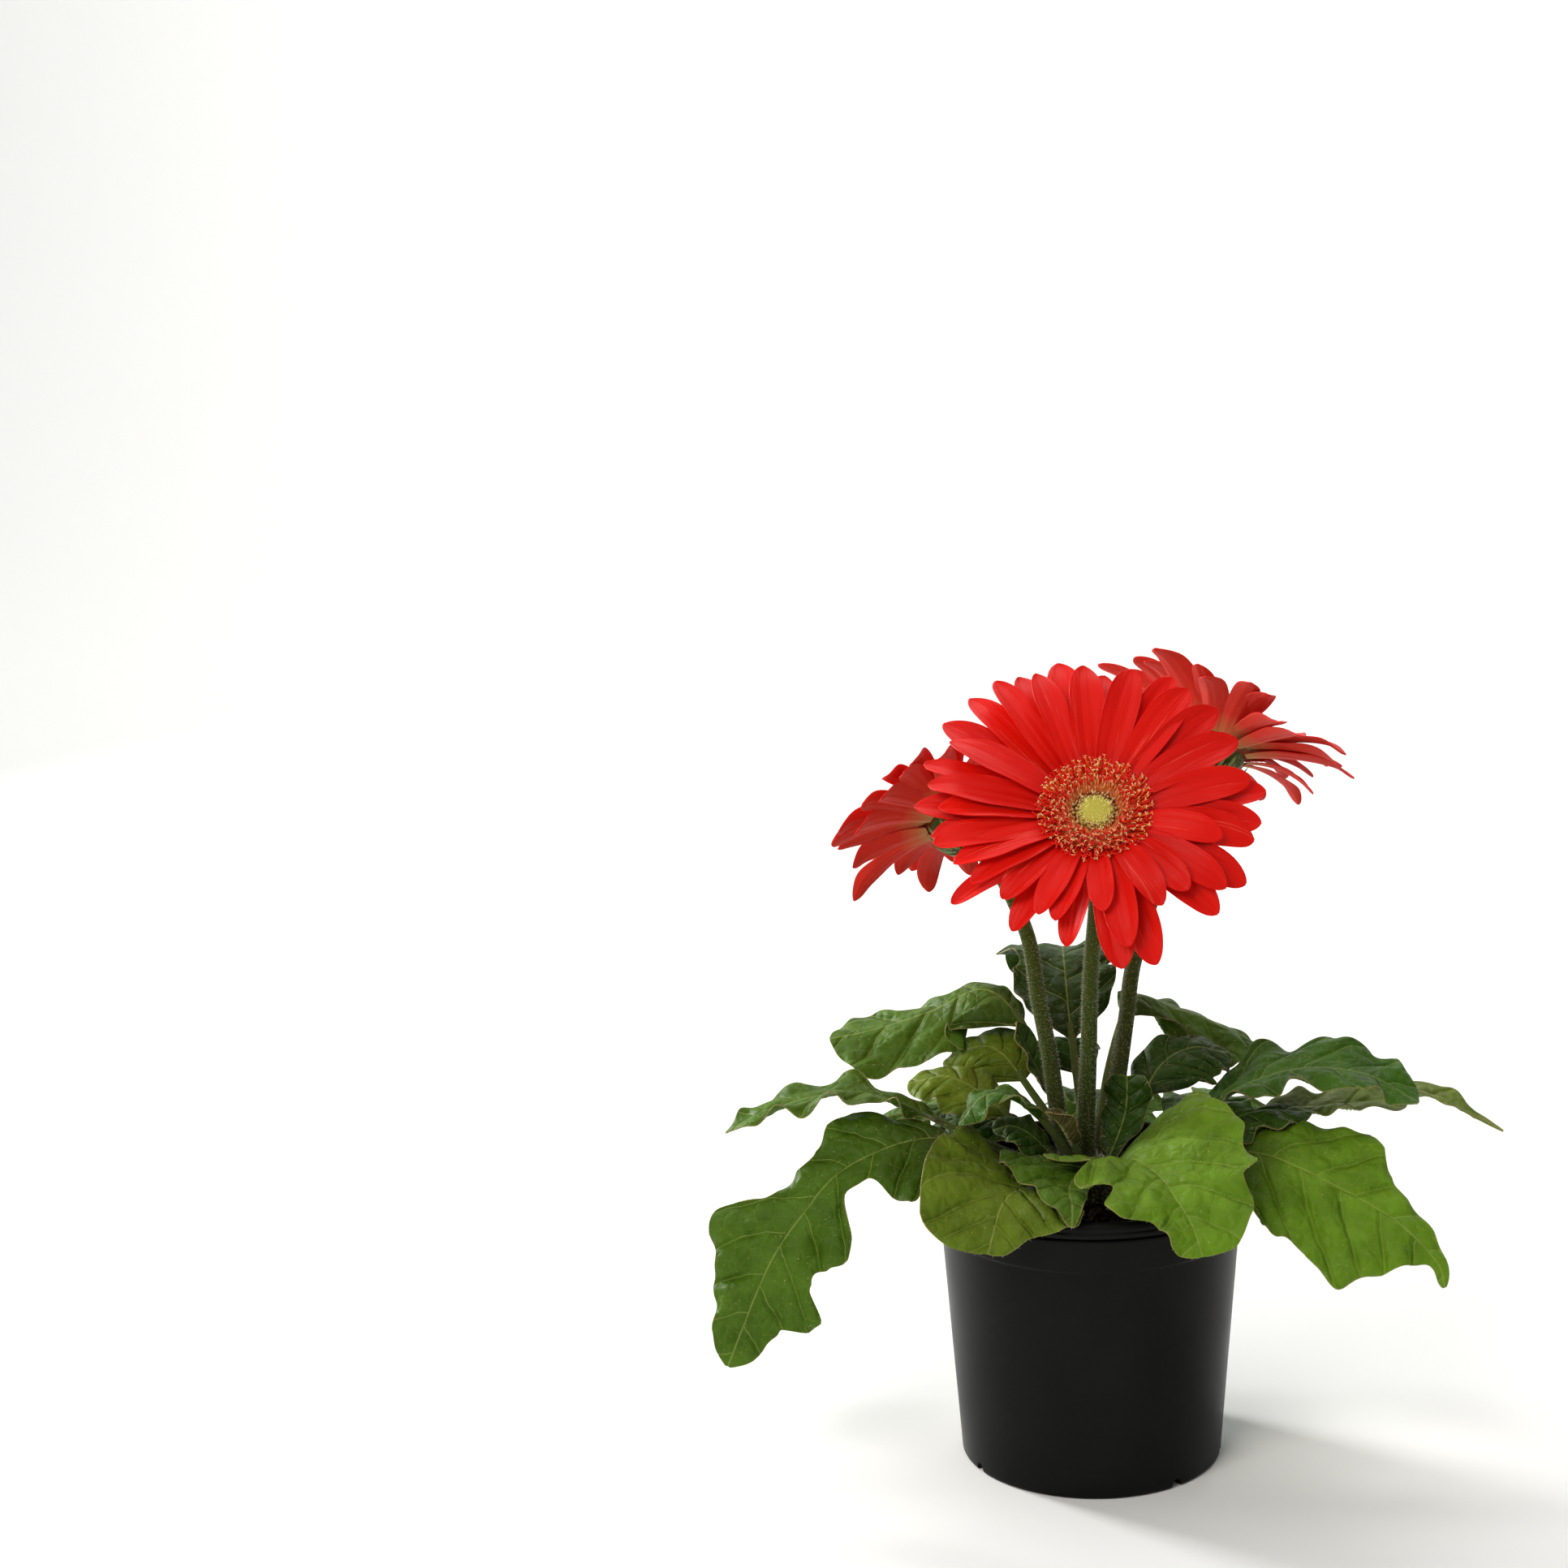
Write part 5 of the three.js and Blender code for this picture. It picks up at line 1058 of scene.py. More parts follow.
# %% The heads and their matrices
HEADS = {
    "front": {
        "at": (3, -19.5, 243), "face": (0, -0.72, 0.69), "seed": 3, "wide": 1,
        "stem": [[0, -3, 100], [-1, -1, 119], [0, -2, 150], [1, -6, 182], [3, -10, 210]],
        "outer": [
            [175, 63, -1], [158, 64, -1], [144, 66, -1], [114, 65, -1], [101, 66, -1], [65, 64, -1],
            [10, 60, -1], [359, 57, -1], [351, 55, -1], [333, 57, -2], [318, 55, -3], [290, 58, -6],
            [279, 57, -6], [258, 50, -3], [237, 52, -1], [212, 59, -3], [186, 57, -1], [86, 60, -2],
            [37, 57, -2],
        ],
        "inner": [
            [169, 59, 5], [177, 54, 6], [194, 57, 5], [204, 53, 5], [151, 58, 5], [133, 65, 3], [123, 64, 4],
            [111, 60, 5], [93, 60, 5], [77, 59, 5], [55, 59, 5], [44, 60, 4], [30, 57, 5], [13, 55, 5],
            [344, 45, 6], [326, 53, 3], [315, 45, 7], [301, 44, 7], [283, 53, 3], [272, 42, 8], [253, 46, 7],
            [244, 46, 7], [226, 47, 6], [214, 51, 5],
        ],
    },
    "right": {
        "at": (50, 75, 247), "face": (0.42, 0.5, 0.76), "seed": 11, "wide": 0.92,
        "stem": [[4.5, 2.5, 100], [7.7, 8, 119], [11, 18, 138], [14, 28, 156], [17, 38, 174], [27, 54, 202]],
        "outer": [
            [41, 55, 10], [86, 54, 12], [112, 51, 5], [129, 53, 9], [159, 52, 2], [195, 54, 4], [232, 40, 2],
            [258, 46, 4], [282, 48, 3], [306, 48, 4], [330, 48, 4], [354, 50, 6], [18, 50, 8],
        ],
        "inner": [
            [30, 48, 14], [62, 47, 12], [74, 46, 10], [101, 44, 12], [137, 51, 8], [146, 53, 1], [181, 54, 7],
            [187, 51, 4], [215, 40, 12], [244, 42, 12], [270, 44, 12], [296, 44, 12], [318, 44, 12],
            [343, 44, 12], [7, 46, 14],
        ],
    },
    "left": {
        "at": (-49, 50, 227), "face": (-0.42, 0.62, 0.66), "seed": 23, "wide": 0.86,
        "stem": [
            [-4.5, 1.5, 100], [-10.4, 4, 122], [-14, 8, 147], [-18, 14, 167], [-22, 22, 189],
            [-33, 35, 210],
        ],
        "outer": [
            [45, 51, -1], [33, 52, -4], [23, 52, -1], [10, 50, -6], [329, 42, 0], [301, 52, 0], [283, 38, 2],
            [262, 48, 0], [240, 48, 0], [218, 48, 0], [196, 48, 0], [174, 48, 0], [152, 48, 0], [130, 48, 0],
            [106, 48, 0], [84, 48, 0], [64, 50, 0],
        ],
        "inner": [
            [51, 50, 3], [38, 51, 3], [5, 52, 0], [359, 53, -2], [345, 46, 2], [316, 36, 4], [293, 40, 7],
            [270, 43, 7], [246, 43, 7], [222, 43, 7], [198, 43, 7], [174, 43, 7], [150, 43, 7], [126, 43, 7],
            [101, 43, 7], [76, 43, 7],
        ],
    },
}


def head_matrix(head):
    z = Vector(head["face"]).normalized()
    x = Z_AXIS.cross(z).normalized()
    return Matrix.LocRotScale(Vector(head["at"]) * MM, Matrix((x, z.cross(x), z)).transposed(), None)


for head in HEADS.values():
    head["matrix"] = head_matrix(head)
print("heads at", [head["at"] for head in HEADS.values()])

# %% [markdown]
# ## Ray petals
# A petal is a long trough with a few shallow pleats, rolled a little so that one edge lies over its
# neighbour. It is widest past its middle and ends in a blunt point that dips. One petal could be copied
# round the head, but real ones differ in length and in how they overlap, so each is lofted by itself.
# Small random numbers, drawn from the petal's place in the list, make no two alike.

# %% A petal's outline and its own numbers
PETAL_THICK = 0.55
ROOT_R = 11.5
FOOT_INNER, FOOT_OUTER = 1, -1.6  # height of a petal's root over the disc's plane
WIDEST, ROOT_WIDE = 0.64, 0.4  # share of the length where a petal is widest, and its root's share of that
USUAL_REACH = 60
TROUGH = 0.16  # depth of the trough, as a share of the half width
PLEAT, FINE_PLEAT, FLUTTER = 0.1, 0.07, 0.45  # heights
PLEATS, FINE_PLEATS, FLUTTERS = 3.2, 7.3, 1.6  # waves across, across, and along a petal

# for what differs from petal to petal: where its random draw starts, its lowest and its highest value
PETAL_DRAWS = {
    "roll": (130, 10, 25),  # degrees
    "arch": (170, 1, 4),  # mm at the middle of its length
    "wide": (210, 5.6, 6.8),  # half width at the usual reach
    "nod": (250, 0.4, 2.4),  # mm by which the tip dips
    "lean": (290, -1.2, 1.2),  # mm to one side
    "pleat": (310, -0.35, 0.35),  # where the pleats lie
    "flutter": (330, 0, 3),  # where the margin's waves lie
}


def petal_width(t):
    """Share of the half width: narrow at the root, widest past the middle, bluntly pointed."""
    growing = mix(ROOT_WIDE, 1, np.sin(np.clip(t / WIDEST, 0, 1) * np.pi / 2) ** 0.9)
    closing = np.clip(1 - (np.clip(t - WIDEST, 0, 1) / (1 - WIDEST)) ** 2.3, 0.003, 1) ** 0.54
    return growing * closing


print("a petal starts", ROOT_R, "mm from the middle and is widest", WIDEST, "of the way out")

# %% One petal
RINGS_TO_TIP, RINGS_IN_TIP, TIP_AT = 13, 10, 0.72  # rings before and in the tip, and where it begins
SIDEWAYS = np.linspace(-1, 1, 17)  # places across a petal
SIDE_LAG = 0.4  # waves by which one margin's flutter trails the other's
SUNK = 0.25  # mm that a petal lies under its own line


def petal_surface(length, wide, own, index):
    """A petal lying along x, its root at the origin, with its half width and place along for each point."""
    closing = np.sin(np.linspace(0, np.pi / 2, RINGS_IN_TIP + 1)[1:])
    t = np.concatenate([np.linspace(0, TIP_AT, RINGS_TO_TIP), mix(TIP_AT, 1, closing)])[:, None]
    s = SIDEWAYS[None, :]
    half = wide * petal_width(t)
    # pleats and flutter start a little way out, and the pleats run out towards the tip
    pleat = PLEAT * np.cos(np.pi * (PLEATS * s + own["pleat"]))
    pleat = pleat + FINE_PLEAT * np.cos(FINE_PLEATS * np.pi * s + index)
    pleat = pleat * ease(t, 0.0, 0.15) * (1 - 0.8 * ease(t, 0.8, 1))
    flow = FLUTTERS * t + own["flutter"] + (s > 0) * SIDE_LAG
    flutter = FLUTTER * np.sin(2 * np.pi * flow) * s**2 * ease(t, 0.2, 0.6)
    rise = TROUGH * half * (1.6 * s**2 - 0.6) - SUNK + pleat + flutter
    roll = math.radians(own["roll"]) * (0.5 + 0.5 * t)
    x = length * t + 0 * s
    y = half * s * np.cos(roll) - rise * np.sin(roll) + own["lean"] * ease(t, 0.2, 1)
    z = half * s * np.sin(roll) + rise * np.cos(roll)
    z = z + 4 * own["arch"] * t * (1 - t) - own["nod"] * ease(t, TIP_AT, 1) ** 2
    return np.stack([x, y, z], -1), half * s, t + 0 * s


def petal_rings(turn, reach, rise, inner, index, head):
    """The rings of one petal, in its place round the head, with its attributes."""
    own = {
        kind: mix(low, high, draw(head["seed"], index + start))
        for kind, (start, low, high) in PETAL_DRAWS.items()
    }
    foot = FOOT_INNER if inner else FOOT_OUTER
    length = reach - ROOT_R
    wide = own["wide"] * math.sqrt(reach / USUAL_REACH) * head["wide"]
    surface, sideways, along = petal_surface(length, wide, own, index)
    thin = ease(1 - np.abs(SIDEWAYS), 0, 0.3)[None, :, None]  # thinner within 0.3 of the half width
    thick = -grid_normals(surface) * PETAL_THICK / 2 * mix(0.5, 1, thin)
    rings = np.concatenate([(surface + thick)[:, ::-1], surface - thick], axis=1)
    tilted = Matrix.Rotation(-math.atan2(rise - foot, length), 3, "Y")
    turned = Matrix.Rotation(math.radians(turn), 3, "Z")
    rings = rings @ np.array(tilted).T + [ROOT_R, 0, foot]
    number = np.full_like(sideways, index * 7.31 + head["seed"])  # steps that never meet another petal's
    petal_mm = both(np.stack([sideways, length * along, number], -1)[:, ::-1])
    return rings @ np.array(turned).T, petal_mm, both(along)


print("petals are drawn with", len(PETAL_DRAWS), "numbers of their own")

# %% The rings of petals
for name, head in HEADS.items():
    lofts = Lofts()
    petals = [(*petal, False) for petal in head["outer"]] + [(*petal, True) for petal in head["inner"]]
    for index, petal in enumerate(petals):
        rings, petal_mm, share = petal_rings(*petal, index, head)
        lofts.add(rings, two_sides(rings.shape[1] // 2), petal_mm=petal_mm, petal_share=share)
    mesh = lofts.mesh("petals_" + name, PETAL_FACE, PETAL_BACK)
    put("ray_petals_" + name, mesh, "petal", "petals_" + name, stand=head["matrix"])
    print(name, "head:", len(petals), "petals,", len(mesh.polygons), "faces")

# %% [markdown]
# ## Repeating small parts round a head
# Florets and buds sit in the sunflower pattern: each one is 137.5 degrees on from the last, which packs
# them evenly with no rows. One geometry-node tree does this for any small part: it takes the part as the
# geometry, sets points in a ring from an inner to an outer radius, leans each copy outwards, and gives
# every copy its own spin, size and `tone`. The result is baked to a plain mesh straight away.

# %% A tree with named inputs, and how it is run
SOCKET_KINDS = {
    int: "NodeSocketInt", float: "NodeSocketFloat",
    bpy.types.Material: "NodeSocketMaterial", bpy.types.Object: "NodeSocketObject",
}


def new_tree(name, **sockets):
    """An empty geometry-node tree with named inputs; a value sets the kind and the start value."""
    tree = bpy.data.node_groups.new(name, "GeometryNodeTree")
    tree.interface.new_socket("Geometry", in_out="INPUT", socket_type="NodeSocketGeometry")
    for label, value in sockets.items():
        kind = value if isinstance(value, type) else type(value)
        socket = tree.interface.new_socket(
            label.replace("_", " "), in_out="INPUT", socket_type=SOCKET_KINDS[kind]
        )
        if not isinstance(value, type):
            socket.default_value = value
    tree.interface.new_socket("Geometry", in_out="OUTPUT", socket_type="NodeSocketGeometry")
    return tree, add(tree, "NodeGroupInput").node.outputs


def grow(mesh, tree, **values):
    """Runs a tree on a mesh and returns the finished mesh; nothing is left in the scene."""
    host = bpy.data.objects.new("host", mesh)
    bpy.context.scene.collection.objects.link(host)
    modifier = host.modifiers.new("grow", "NODES")
    modifier.node_group = tree
    for item in tree.interface.items_tree:
        label = item.name.replace(" ", "_")
        if item.item_type == "SOCKET" and item.in_out == "INPUT" and label in values:
            modifier[item.identifier] = values[label]
    depsgraph = bpy.context.evaluated_depsgraph_get()
    made = bpy.data.meshes.new_from_object(
        host.evaluated_get(depsgraph), preserve_all_data_layers=True, depsgraph=depsgraph
    )
    host.modifiers.remove(modifier)
    bpy.data.objects.remove(host)
    return made


print("sockets for", [kind.__name__ for kind in SOCKET_KINDS])

# %% Tree for one whorl: where each copy stands
GOLDEN_ANGLE = math.radians(137.508)
LEFT_RIGHT = 0.6  # radians by which the least even copies stray round the head

WHORL, given = new_tree(
    "whorl", Count=10, Inner_radius=0.0, Outer_radius=1.0, Inner_foot=0.0, Outer_foot=0.0,
    Inner_lean=0.0, Outer_lean=0.0, Inner_scale=1.0, Outer_scale=1.0, Unevenness=0.1, Spin=3.14, Seed=0,
    Material=bpy.types.Material,
)
# five random numbers for each copy, with seeds of their own; all but the last run from -1 to 1
wander, loose, uneven, spin, tone = (
    add(
        WHORL, "FunctionNodeRandomValue",
        {2: low, 3: 1.0, "Seed": add(WHORL, "ShaderNodeMath", [given["Seed"], step], operation="ADD")}, out=1,
    )
    for step, low in enumerate((-1.0, -1.0, -1.0, -1.0, 0.0), start=1)
)

# equal areas: the square of the radius grows evenly from copy to copy
index = add(WHORL, "GeometryNodeInputIndex")
share = add(WHORL, "ShaderNodeMath", [index, 0.5], operation="ADD")
share = add(WHORL, "ShaderNodeMath", [share, given["Count"]], operation="DIVIDE")
inner_square = add(WHORL, "ShaderNodeMath", [given["Inner radius"], 2.0], operation="POWER")
outer_square = add(WHORL, "ShaderNodeMath", [given["Outer radius"], 2.0], operation="POWER")
square = add(WHORL, "ShaderNodeMix", {0: share, 2: inner_square, 3: outer_square})
radius = add(WHORL, "ShaderNodeMath", [square], operation="SQRT")

turn = add(WHORL, "ShaderNodeMath", [index, GOLDEN_ANGLE], operation="MULTIPLY")
stray = add(WHORL, "ShaderNodeMath", [wander, given["Unevenness"]], operation="MULTIPLY")
turn = add(WHORL, "ShaderNodeMath", [stray, LEFT_RIGHT, turn], operation="MULTIPLY_ADD")
cosine = add(WHORL, "ShaderNodeMath", [turn], operation="COSINE")
sine = add(WHORL, "ShaderNodeMath", [turn], operation="SINE")
right = add(WHORL, "ShaderNodeMath", [radius, cosine], operation="MULTIPLY")
back = add(WHORL, "ShaderNodeMath", [radius, sine], operation="MULTIPLY")

# how far out a copy is, from 0 to 1; the feet follow a bowl, so they go by its square
out = {"Value": radius, "From Min": given["Inner radius"], "From Max": given["Outer radius"]}
out = add(WHORL, "ShaderNodeMapRange", out)
out_square = add(WHORL, "ShaderNodeMath", [out, 2.0], operation="POWER")
foot = add(WHORL, "ShaderNodeMix", {0: out_square, 2: given["Inner foot"], 3: given["Outer foot"]})
place = add(WHORL, "ShaderNodeCombineXYZ", [right, back, foot])
points = add(WHORL, "GeometryNodePoints", {"Count": given["Count"], "Position": place})
print("whorl tree:", len(WHORL.nodes), "nodes place the points")

# %% Tree for one whorl: how each copy leans, and its size, spin and tone
tip_over = add(WHORL, "ShaderNodeMath", [loose, given["Unevenness"]], operation="MULTIPLY")
lean = add(WHORL, "ShaderNodeMix", {0: out, 2: given["Inner lean"], 3: given["Outer lean"]})
lean = add(WHORL, "ShaderNodeMath", [lean, tip_over], operation="ADD")
facing = add(WHORL, "ShaderNodeCombineXYZ", {1: lean, 2: turn})
grown = add(WHORL, "ShaderNodeMath", [uneven, given["Unevenness"], 1.0], operation="MULTIPLY_ADD")
size = add(WHORL, "ShaderNodeMix", {0: out, 2: given["Inner scale"], 3: given["Outer scale"]})
size = add(WHORL, "ShaderNodeMath", [size, grown], operation="MULTIPLY")
copies = add(
    WHORL, "GeometryNodeInstanceOnPoints",
    {"Points": points, "Instance": given["Geometry"], "Rotation": facing, "Scale": size},
)
spun = add(WHORL, "ShaderNodeMath", [spin, given["Spin"]], operation="MULTIPLY")
spun = add(WHORL, "ShaderNodeCombineXYZ", {2: spun})
copies = add(WHORL, "GeometryNodeRotateInstances", {"Instances": copies, "Rotation": spun})
toned = add(
    WHORL, "GeometryNodeStoreNamedAttribute", {"Geometry": copies, "Name": "tone", "Value": tone},
    data_type="FLOAT", domain="INSTANCE",
)
real = add(WHORL, "GeometryNodeRealizeInstances", {"Geometry": toned})
dressed = add(WHORL, "GeometryNodeSetMaterial", {"Geometry": real, "Material": given["Material"]})
add(WHORL, "NodeGroupOutput", [dressed])
print("whorl tree:", len(WHORL.nodes), "nodes in all")

# %% [markdown]
# ## Small parts of the flower
# A floret of a gerbera is a pale tube that splits at the top into a red lip and a few curls, and its
# style pushes out with two short, blunt arms. Each part is a few dozen faces, as it is repeated hundreds
# of times. All of them are short tubes that point up, so one table and one function make them, and the
# crumb of peat too.

# %% Prototypes
BLUNT_FROM, BLUNT_BY, BLUNT_LEAST = 0.55, 0.96, 0.04  # where a blunt end begins to close, and how far


def thread(lofts, points, radii, rings, tips=(0.0, 1.0), sides=4, flat=1.0, blunt=0):
    """A thin tube through points in mm, sides even; flat below 1 makes a strap. `tip` runs along it."""

    def radius(t):
        closing = BLUNT_BY * blunt * ease(t, BLUNT_FROM, 1.0) ** 2
        return mix(*radii, t) * np.sqrt(np.clip(1 - closing, BLUNT_LEAST, 1))

    squash = lambda angle, u: flat / np.hypot(flat * np.cos(angle), np.sin(angle)) + 0 * u
    ring = tube(Spine(points), 1, radius, squash, (0, 1, 0), sides, rings)
    lofts.add(ring, one_side(sides), tip=np.linspace(*tips, rings)[:, None])


THREADS = {
    "style": [
        dict(
            points=[[0, 0, 0], [0.1, 0, 2.5], [-0.1, 0, 5], [0.3, 0, 7]],
            radii=(0.19, 0.13), rings=5, tips=(0, 0.8),
        ),
        dict(
            points=[[0.26, 0, 6.8], [0.35, 0.15, 7.3], [0.6, 0.42, 7.6], [0.85, 0.5, 7.4]],
            radii=(0.15, 0.2), rings=3, tips=(0.8, 1),
        ),
        dict(
            points=[[0.26, 0, 6.8], [0.3, -0.15, 7.3], [0.42, -0.45, 7.5], [0.5, -0.65, 7.3]],
            radii=(0.15, 0.2), rings=3, tips=(0.8, 1),
        ),
    ],
    "corolla": [
        dict(
            points=[[0, 0, 0], [0, 0, 2], [0, 0, 4], [0, 0, 5.4]],
            radii=(0.32, 0.44), rings=3, tips=(0, 0.5),
        ),
        dict(
            points=[[0.2, 0, 5.0], [0.4, 0, 6.0], [0.9, 0, 6.6], [1.4, 0, 6.4]],
            radii=(0.32, 0.45), rings=4, tips=(0.5, 1), flat=0.4, blunt=1,
        ),
        dict(
            points=[[-0.2, 0, 5.0], [-0.4, 0, 5.9], [-0.8, 0.1, 6.2], [-1.0, 0.1, 6.0]],
            radii=(0.22, 0.24), rings=3, tips=(0.5, 0.8),
        ),
    ],
    "anther": [
        dict(
            points=[[0, 0, 0], [0, 0, 1.6], [0.08, 0, 3.2], [0, 0, 4.6]],
            radii=(0.28, 0.22), rings=5, blunt=1,
        ),
    ],
    "bud": [
        dict(
            points=[[0, 0, 0], [0, 0, 0.5], [0, 0, 1.0], [0, 0, 1.4]],
            radii=(0.3, 0.46), rings=4, sides=6, blunt=1,
        ),
    ],
    "bract": [
        dict(
            points=[[0, 0, 0], [0.5, 0, 3], [0.2, 0, 6.4], [-0.6, 0, 9.2]],
            radii=(1.9, 1.3), rings=9, sides=8, flat=0.22, blunt=1,
        ),
    ],
    "crumb": [
        dict(
            points=[[0, 0, -0.5], [0.1, 0, -0.1], [0, 0.1, 0.3], [0, 0, 0.6]],
            radii=(0.45, 0.5), rings=4, blunt=1,
        ),
    ],
}
PROTOTYPES = {}
for name, threads in THREADS.items():
    lofts = Lofts()
    for settings in threads:
        thread(lofts, **settings)
    PROTOTYPES[name] = lofts.mesh("proto_" + name)
print({name: len(mesh.polygons) for name, mesh in PROTOTYPES.items()}, "faces each")

# %% [markdown]
# ## Discs
# The disc is built from the middle outwards: the dome of the eye with its buds, a rim of brown buds, and
# then the open florets, which stand upright round the eye like the wall of a cup and lean further out
# towards the ray petals. The red lips stand a little lower than the orange styles.

# %% Turned bodies
AXIS_R = 0.02  # mm, so that a pole is a tiny closed ring and not a point
CORNER_SHARE = 0.3  # of a step, from a corner to the points beside it


def lathe(profile, sides):
    """Rings turned round the z axis, from a profile of (radius, height) in mm."""
    r, z = np.array(profile, float).T[:, :, None]
    angle = np.arange(sides) * 2 * math.pi / sides
    r = np.maximum(r, AXIS_R)
    return np.stack([r * np.cos(angle), r * np.sin(angle), z + 0 * angle], -1)


def soften(profile, step):
    """A profile with more points on its lines and its corners rounded a little."""
    profile = np.array(profile, float)
    lengths = np.concatenate([[0], np.cumsum(np.linalg.norm(np.diff(profile, axis=0), axis=1))])
    places = np.linspace(0, lengths[-1], max(4, int(lengths[-1] / step)))
    beside = step * CORNER_SHARE
    places = np.unique(np.concatenate([places, lengths, lengths[1:-1] - beside, lengths[1:-1] + beside]))
    dense = np.stack([np.interp(places, lengths, profile[:, k]) for k in range(2)], -1)
    # every point goes half way to the middle of its neighbours
    dense[1:-1] = dense[1:-1] * 0.5 + (dense[:-2] + dense[2:]) * 0.25
    return dense


print("a softened square has", len(soften([[0, 0], [10, 0], [10, 10], [0, 10]], 1)), "points")

# %% Whorls of every head
ANY_WAY = 3.14  # radians to either side: a copy may be turned any way round
CORE = [[0, 1.6], [14, 1.6], [15.2, 2.4], [13.8, 4.6], [10.5, 4.6], [8.2, 3.4], [7.4, 2.2], [0, 1.9]]
DOME = [[0, 1.7], [6.9, 1.7], [6.9, 2.9], [6.0, 3.6], [4.0, 4.4], [2.0, 4.8], [0, 4.9]]
DISC_SIDES = 72
SOLID_OF = {"floret": "florets_", "eye": "eye_"}
BODIES = [("core", CORE, DISC_FLESH, "floret"), ("dome", DOME, DOME_FLESH, "eye")]

# name, prototype, material, slot: count, radii, feet, leans in degrees, scales, unevenness
WHORLS = [
    ("styles", "style", STYLE, "floret", 360, (9.6, 14.6), (2.3, 2.2), (8, 58), (0.8, 0.94), 0.18),
    ("corollas", "corolla", LIP, "floret", 400, (9.6, 15.0), (2.2, 1.8), (8, 60), (0.82, 1.02), 0.16),
    ("anthers", "anther", ANTHER, "floret", 150, (7.7, 10.2), (1.8, 2.2), (0, 14), (0.8, 1.2), 0.16),
    ("eye_buds", "bud", BUD, "eye", 240, (0.0, 5.7), (3.9, 2.9), (0, 16), (0.62, 0.86), 0.22),
    ("rim_buds", "bud", RIM_BUD, "eye", 180, (4.4, 7.7), (3.4, 2.0), (12, 4), (0.66, 1.35), 0.34),
]


def whorl(prototype, material, count, radii, feet, leans, scales, uneven, spin, seed):
    """A ring of copies; each pair of values is for its inner and its outer edge."""
    return grow(
        PROTOTYPES[prototype], WHORL, Count=count, Seed=seed, Material=material, Unevenness=uneven, Spin=spin,
        Inner_radius=radii[0] * MM, Outer_radius=radii[1] * MM,
        Inner_foot=feet[0] * MM, Outer_foot=feet[1] * MM,
        Inner_lean=math.radians(leans[0]), Outer_lean=math.radians(leans[1]),
        Inner_scale=scales[0], Outer_scale=scales[1],
    )


for name, head in HEADS.items():
    for part, prototype, material, slot, *shape in WHORLS:
        mesh = whorl(prototype, material, *shape, spin=ANY_WAY, seed=head["seed"] * 10 + len(part))
        put(part + "_" + name, mesh, slot, SOLID_OF[slot] + name, stand=head["matrix"])
        print(name, part, len(mesh.polygons), "faces")
    for part, profile, material, slot in BODIES:
        lofts = Lofts()
        lofts.add(lathe(soften(profile, 1.0), DISC_SIDES), one_side(DISC_SIDES), tip=0.4, tone=0.5)
        put(part + "_" + name, lofts.mesh(part, material), slot, SOLID_OF[slot] + name, stand=head["matrix"])

# %% [markdown]
# ## Stems and cups
# A gerbera's stem is leafless, round and faintly ridged, a little thicker at its foot and under its head.
# It ends in a green cup wrapped in narrow bracts, which overlap like scales and press against the backs of
# the petals. A bevelled curve could draw a plain stem, but a loft also gives it the ridges, the thicker
# ends and the `downy` attribute, which says where hairs grow later.

# %% Stems with their cups
CALYX_TOP, CALYX_DEEP, STEM_SUNK = -3.4, 12, 4
CUP = [[0, -12], [4, -11.4], [8, -7], [9.5, -2.4], [10.8, 0.6], [8, 1.8], [0, 1.8]]
STEM_SIDES, STEM_RINGS, CUP_SIDES = 28, 90, 48
STEM_R, NECK_SWELL, FOOT_SWELL = (3.2, 2.5), 1.1, 0.5
BRACTS = ("bract", BRACT, 38, (4.4, 9.4), (-15.0, -9.6), (52, 30), (0.7, 0.92), 0.09)
BRACT_SPIN = 0.15  # radians: bracts stay nearly flat on the cup


def stem_radius(t):
    """Tapers, thicker where it runs into the cup and at its foot."""
    return mix(*STEM_R, t) + NECK_SWELL * ease(t, 0.9, 1) + FOOT_SWELL * (1 - ease(t, 0, 0.12))


def stem_ridges(angle, u):
    """Seven low ridges that turn slowly round the stem, and finer ones between them."""
    return 1 + 0.02 * np.sin(7 * angle + 3 * u) + 0.012 * np.sin(17 * angle)


stem_meshes = {}
for name, head in HEADS.items():
    in_head = np.array(head["matrix"])
    under_disc = lambda z: list((in_head[:3, 3] + in_head[:3, 2] * z * MM) / MM)
    spine = Spine(head["stem"] + [under_disc(CALYX_TOP - CALYX_DEEP), under_disc(CALYX_TOP - STEM_SUNK)])
    lofts = Lofts()
    stalk = tube(spine, 1, stem_radius, stem_ridges, (1, 0, 0), STEM_SIDES, STEM_RINGS)
    lofts.add(stalk, one_side(STEM_SIDES), downy=1.0)
    cup = lathe(soften([[r, z + CALYX_TOP] for r, z in CUP], 0.8), CUP_SIDES) * MM
    lofts.add((cup @ in_head[:3, :3].T + in_head[:3, 3]) / MM, one_side(CUP_SIDES), downy=0.6)
    stem_meshes[name] = lofts.mesh("stem_" + name, STEM_FLESH)
    put("stem_" + name, stem_meshes[name], "stem", "scape_" + name)
    bracts = whorl(*BRACTS, spin=BRACT_SPIN, seed=head["seed"])
    put("bracts_" + name, bracts, "stem", "scape_" + name, stand=head["matrix"])
    print(name, "stem:", round(spine.lengths[-1]), "mm long,", len(stem_meshes[name].polygons), "faces")

# %% [markdown]
# ## Pot
# The pot is a body of revolution: a thin tapered wall, a faint step low on the collar, and a rolled lip
# that overhangs a groove. It is moulded, so every corner is slightly round, and the profile is softened
# before it is turned. A Screw modifier could turn it, but the function that turns discs and cups is
# already here. Half-round drain notches are then cut at the foot with a Boolean.

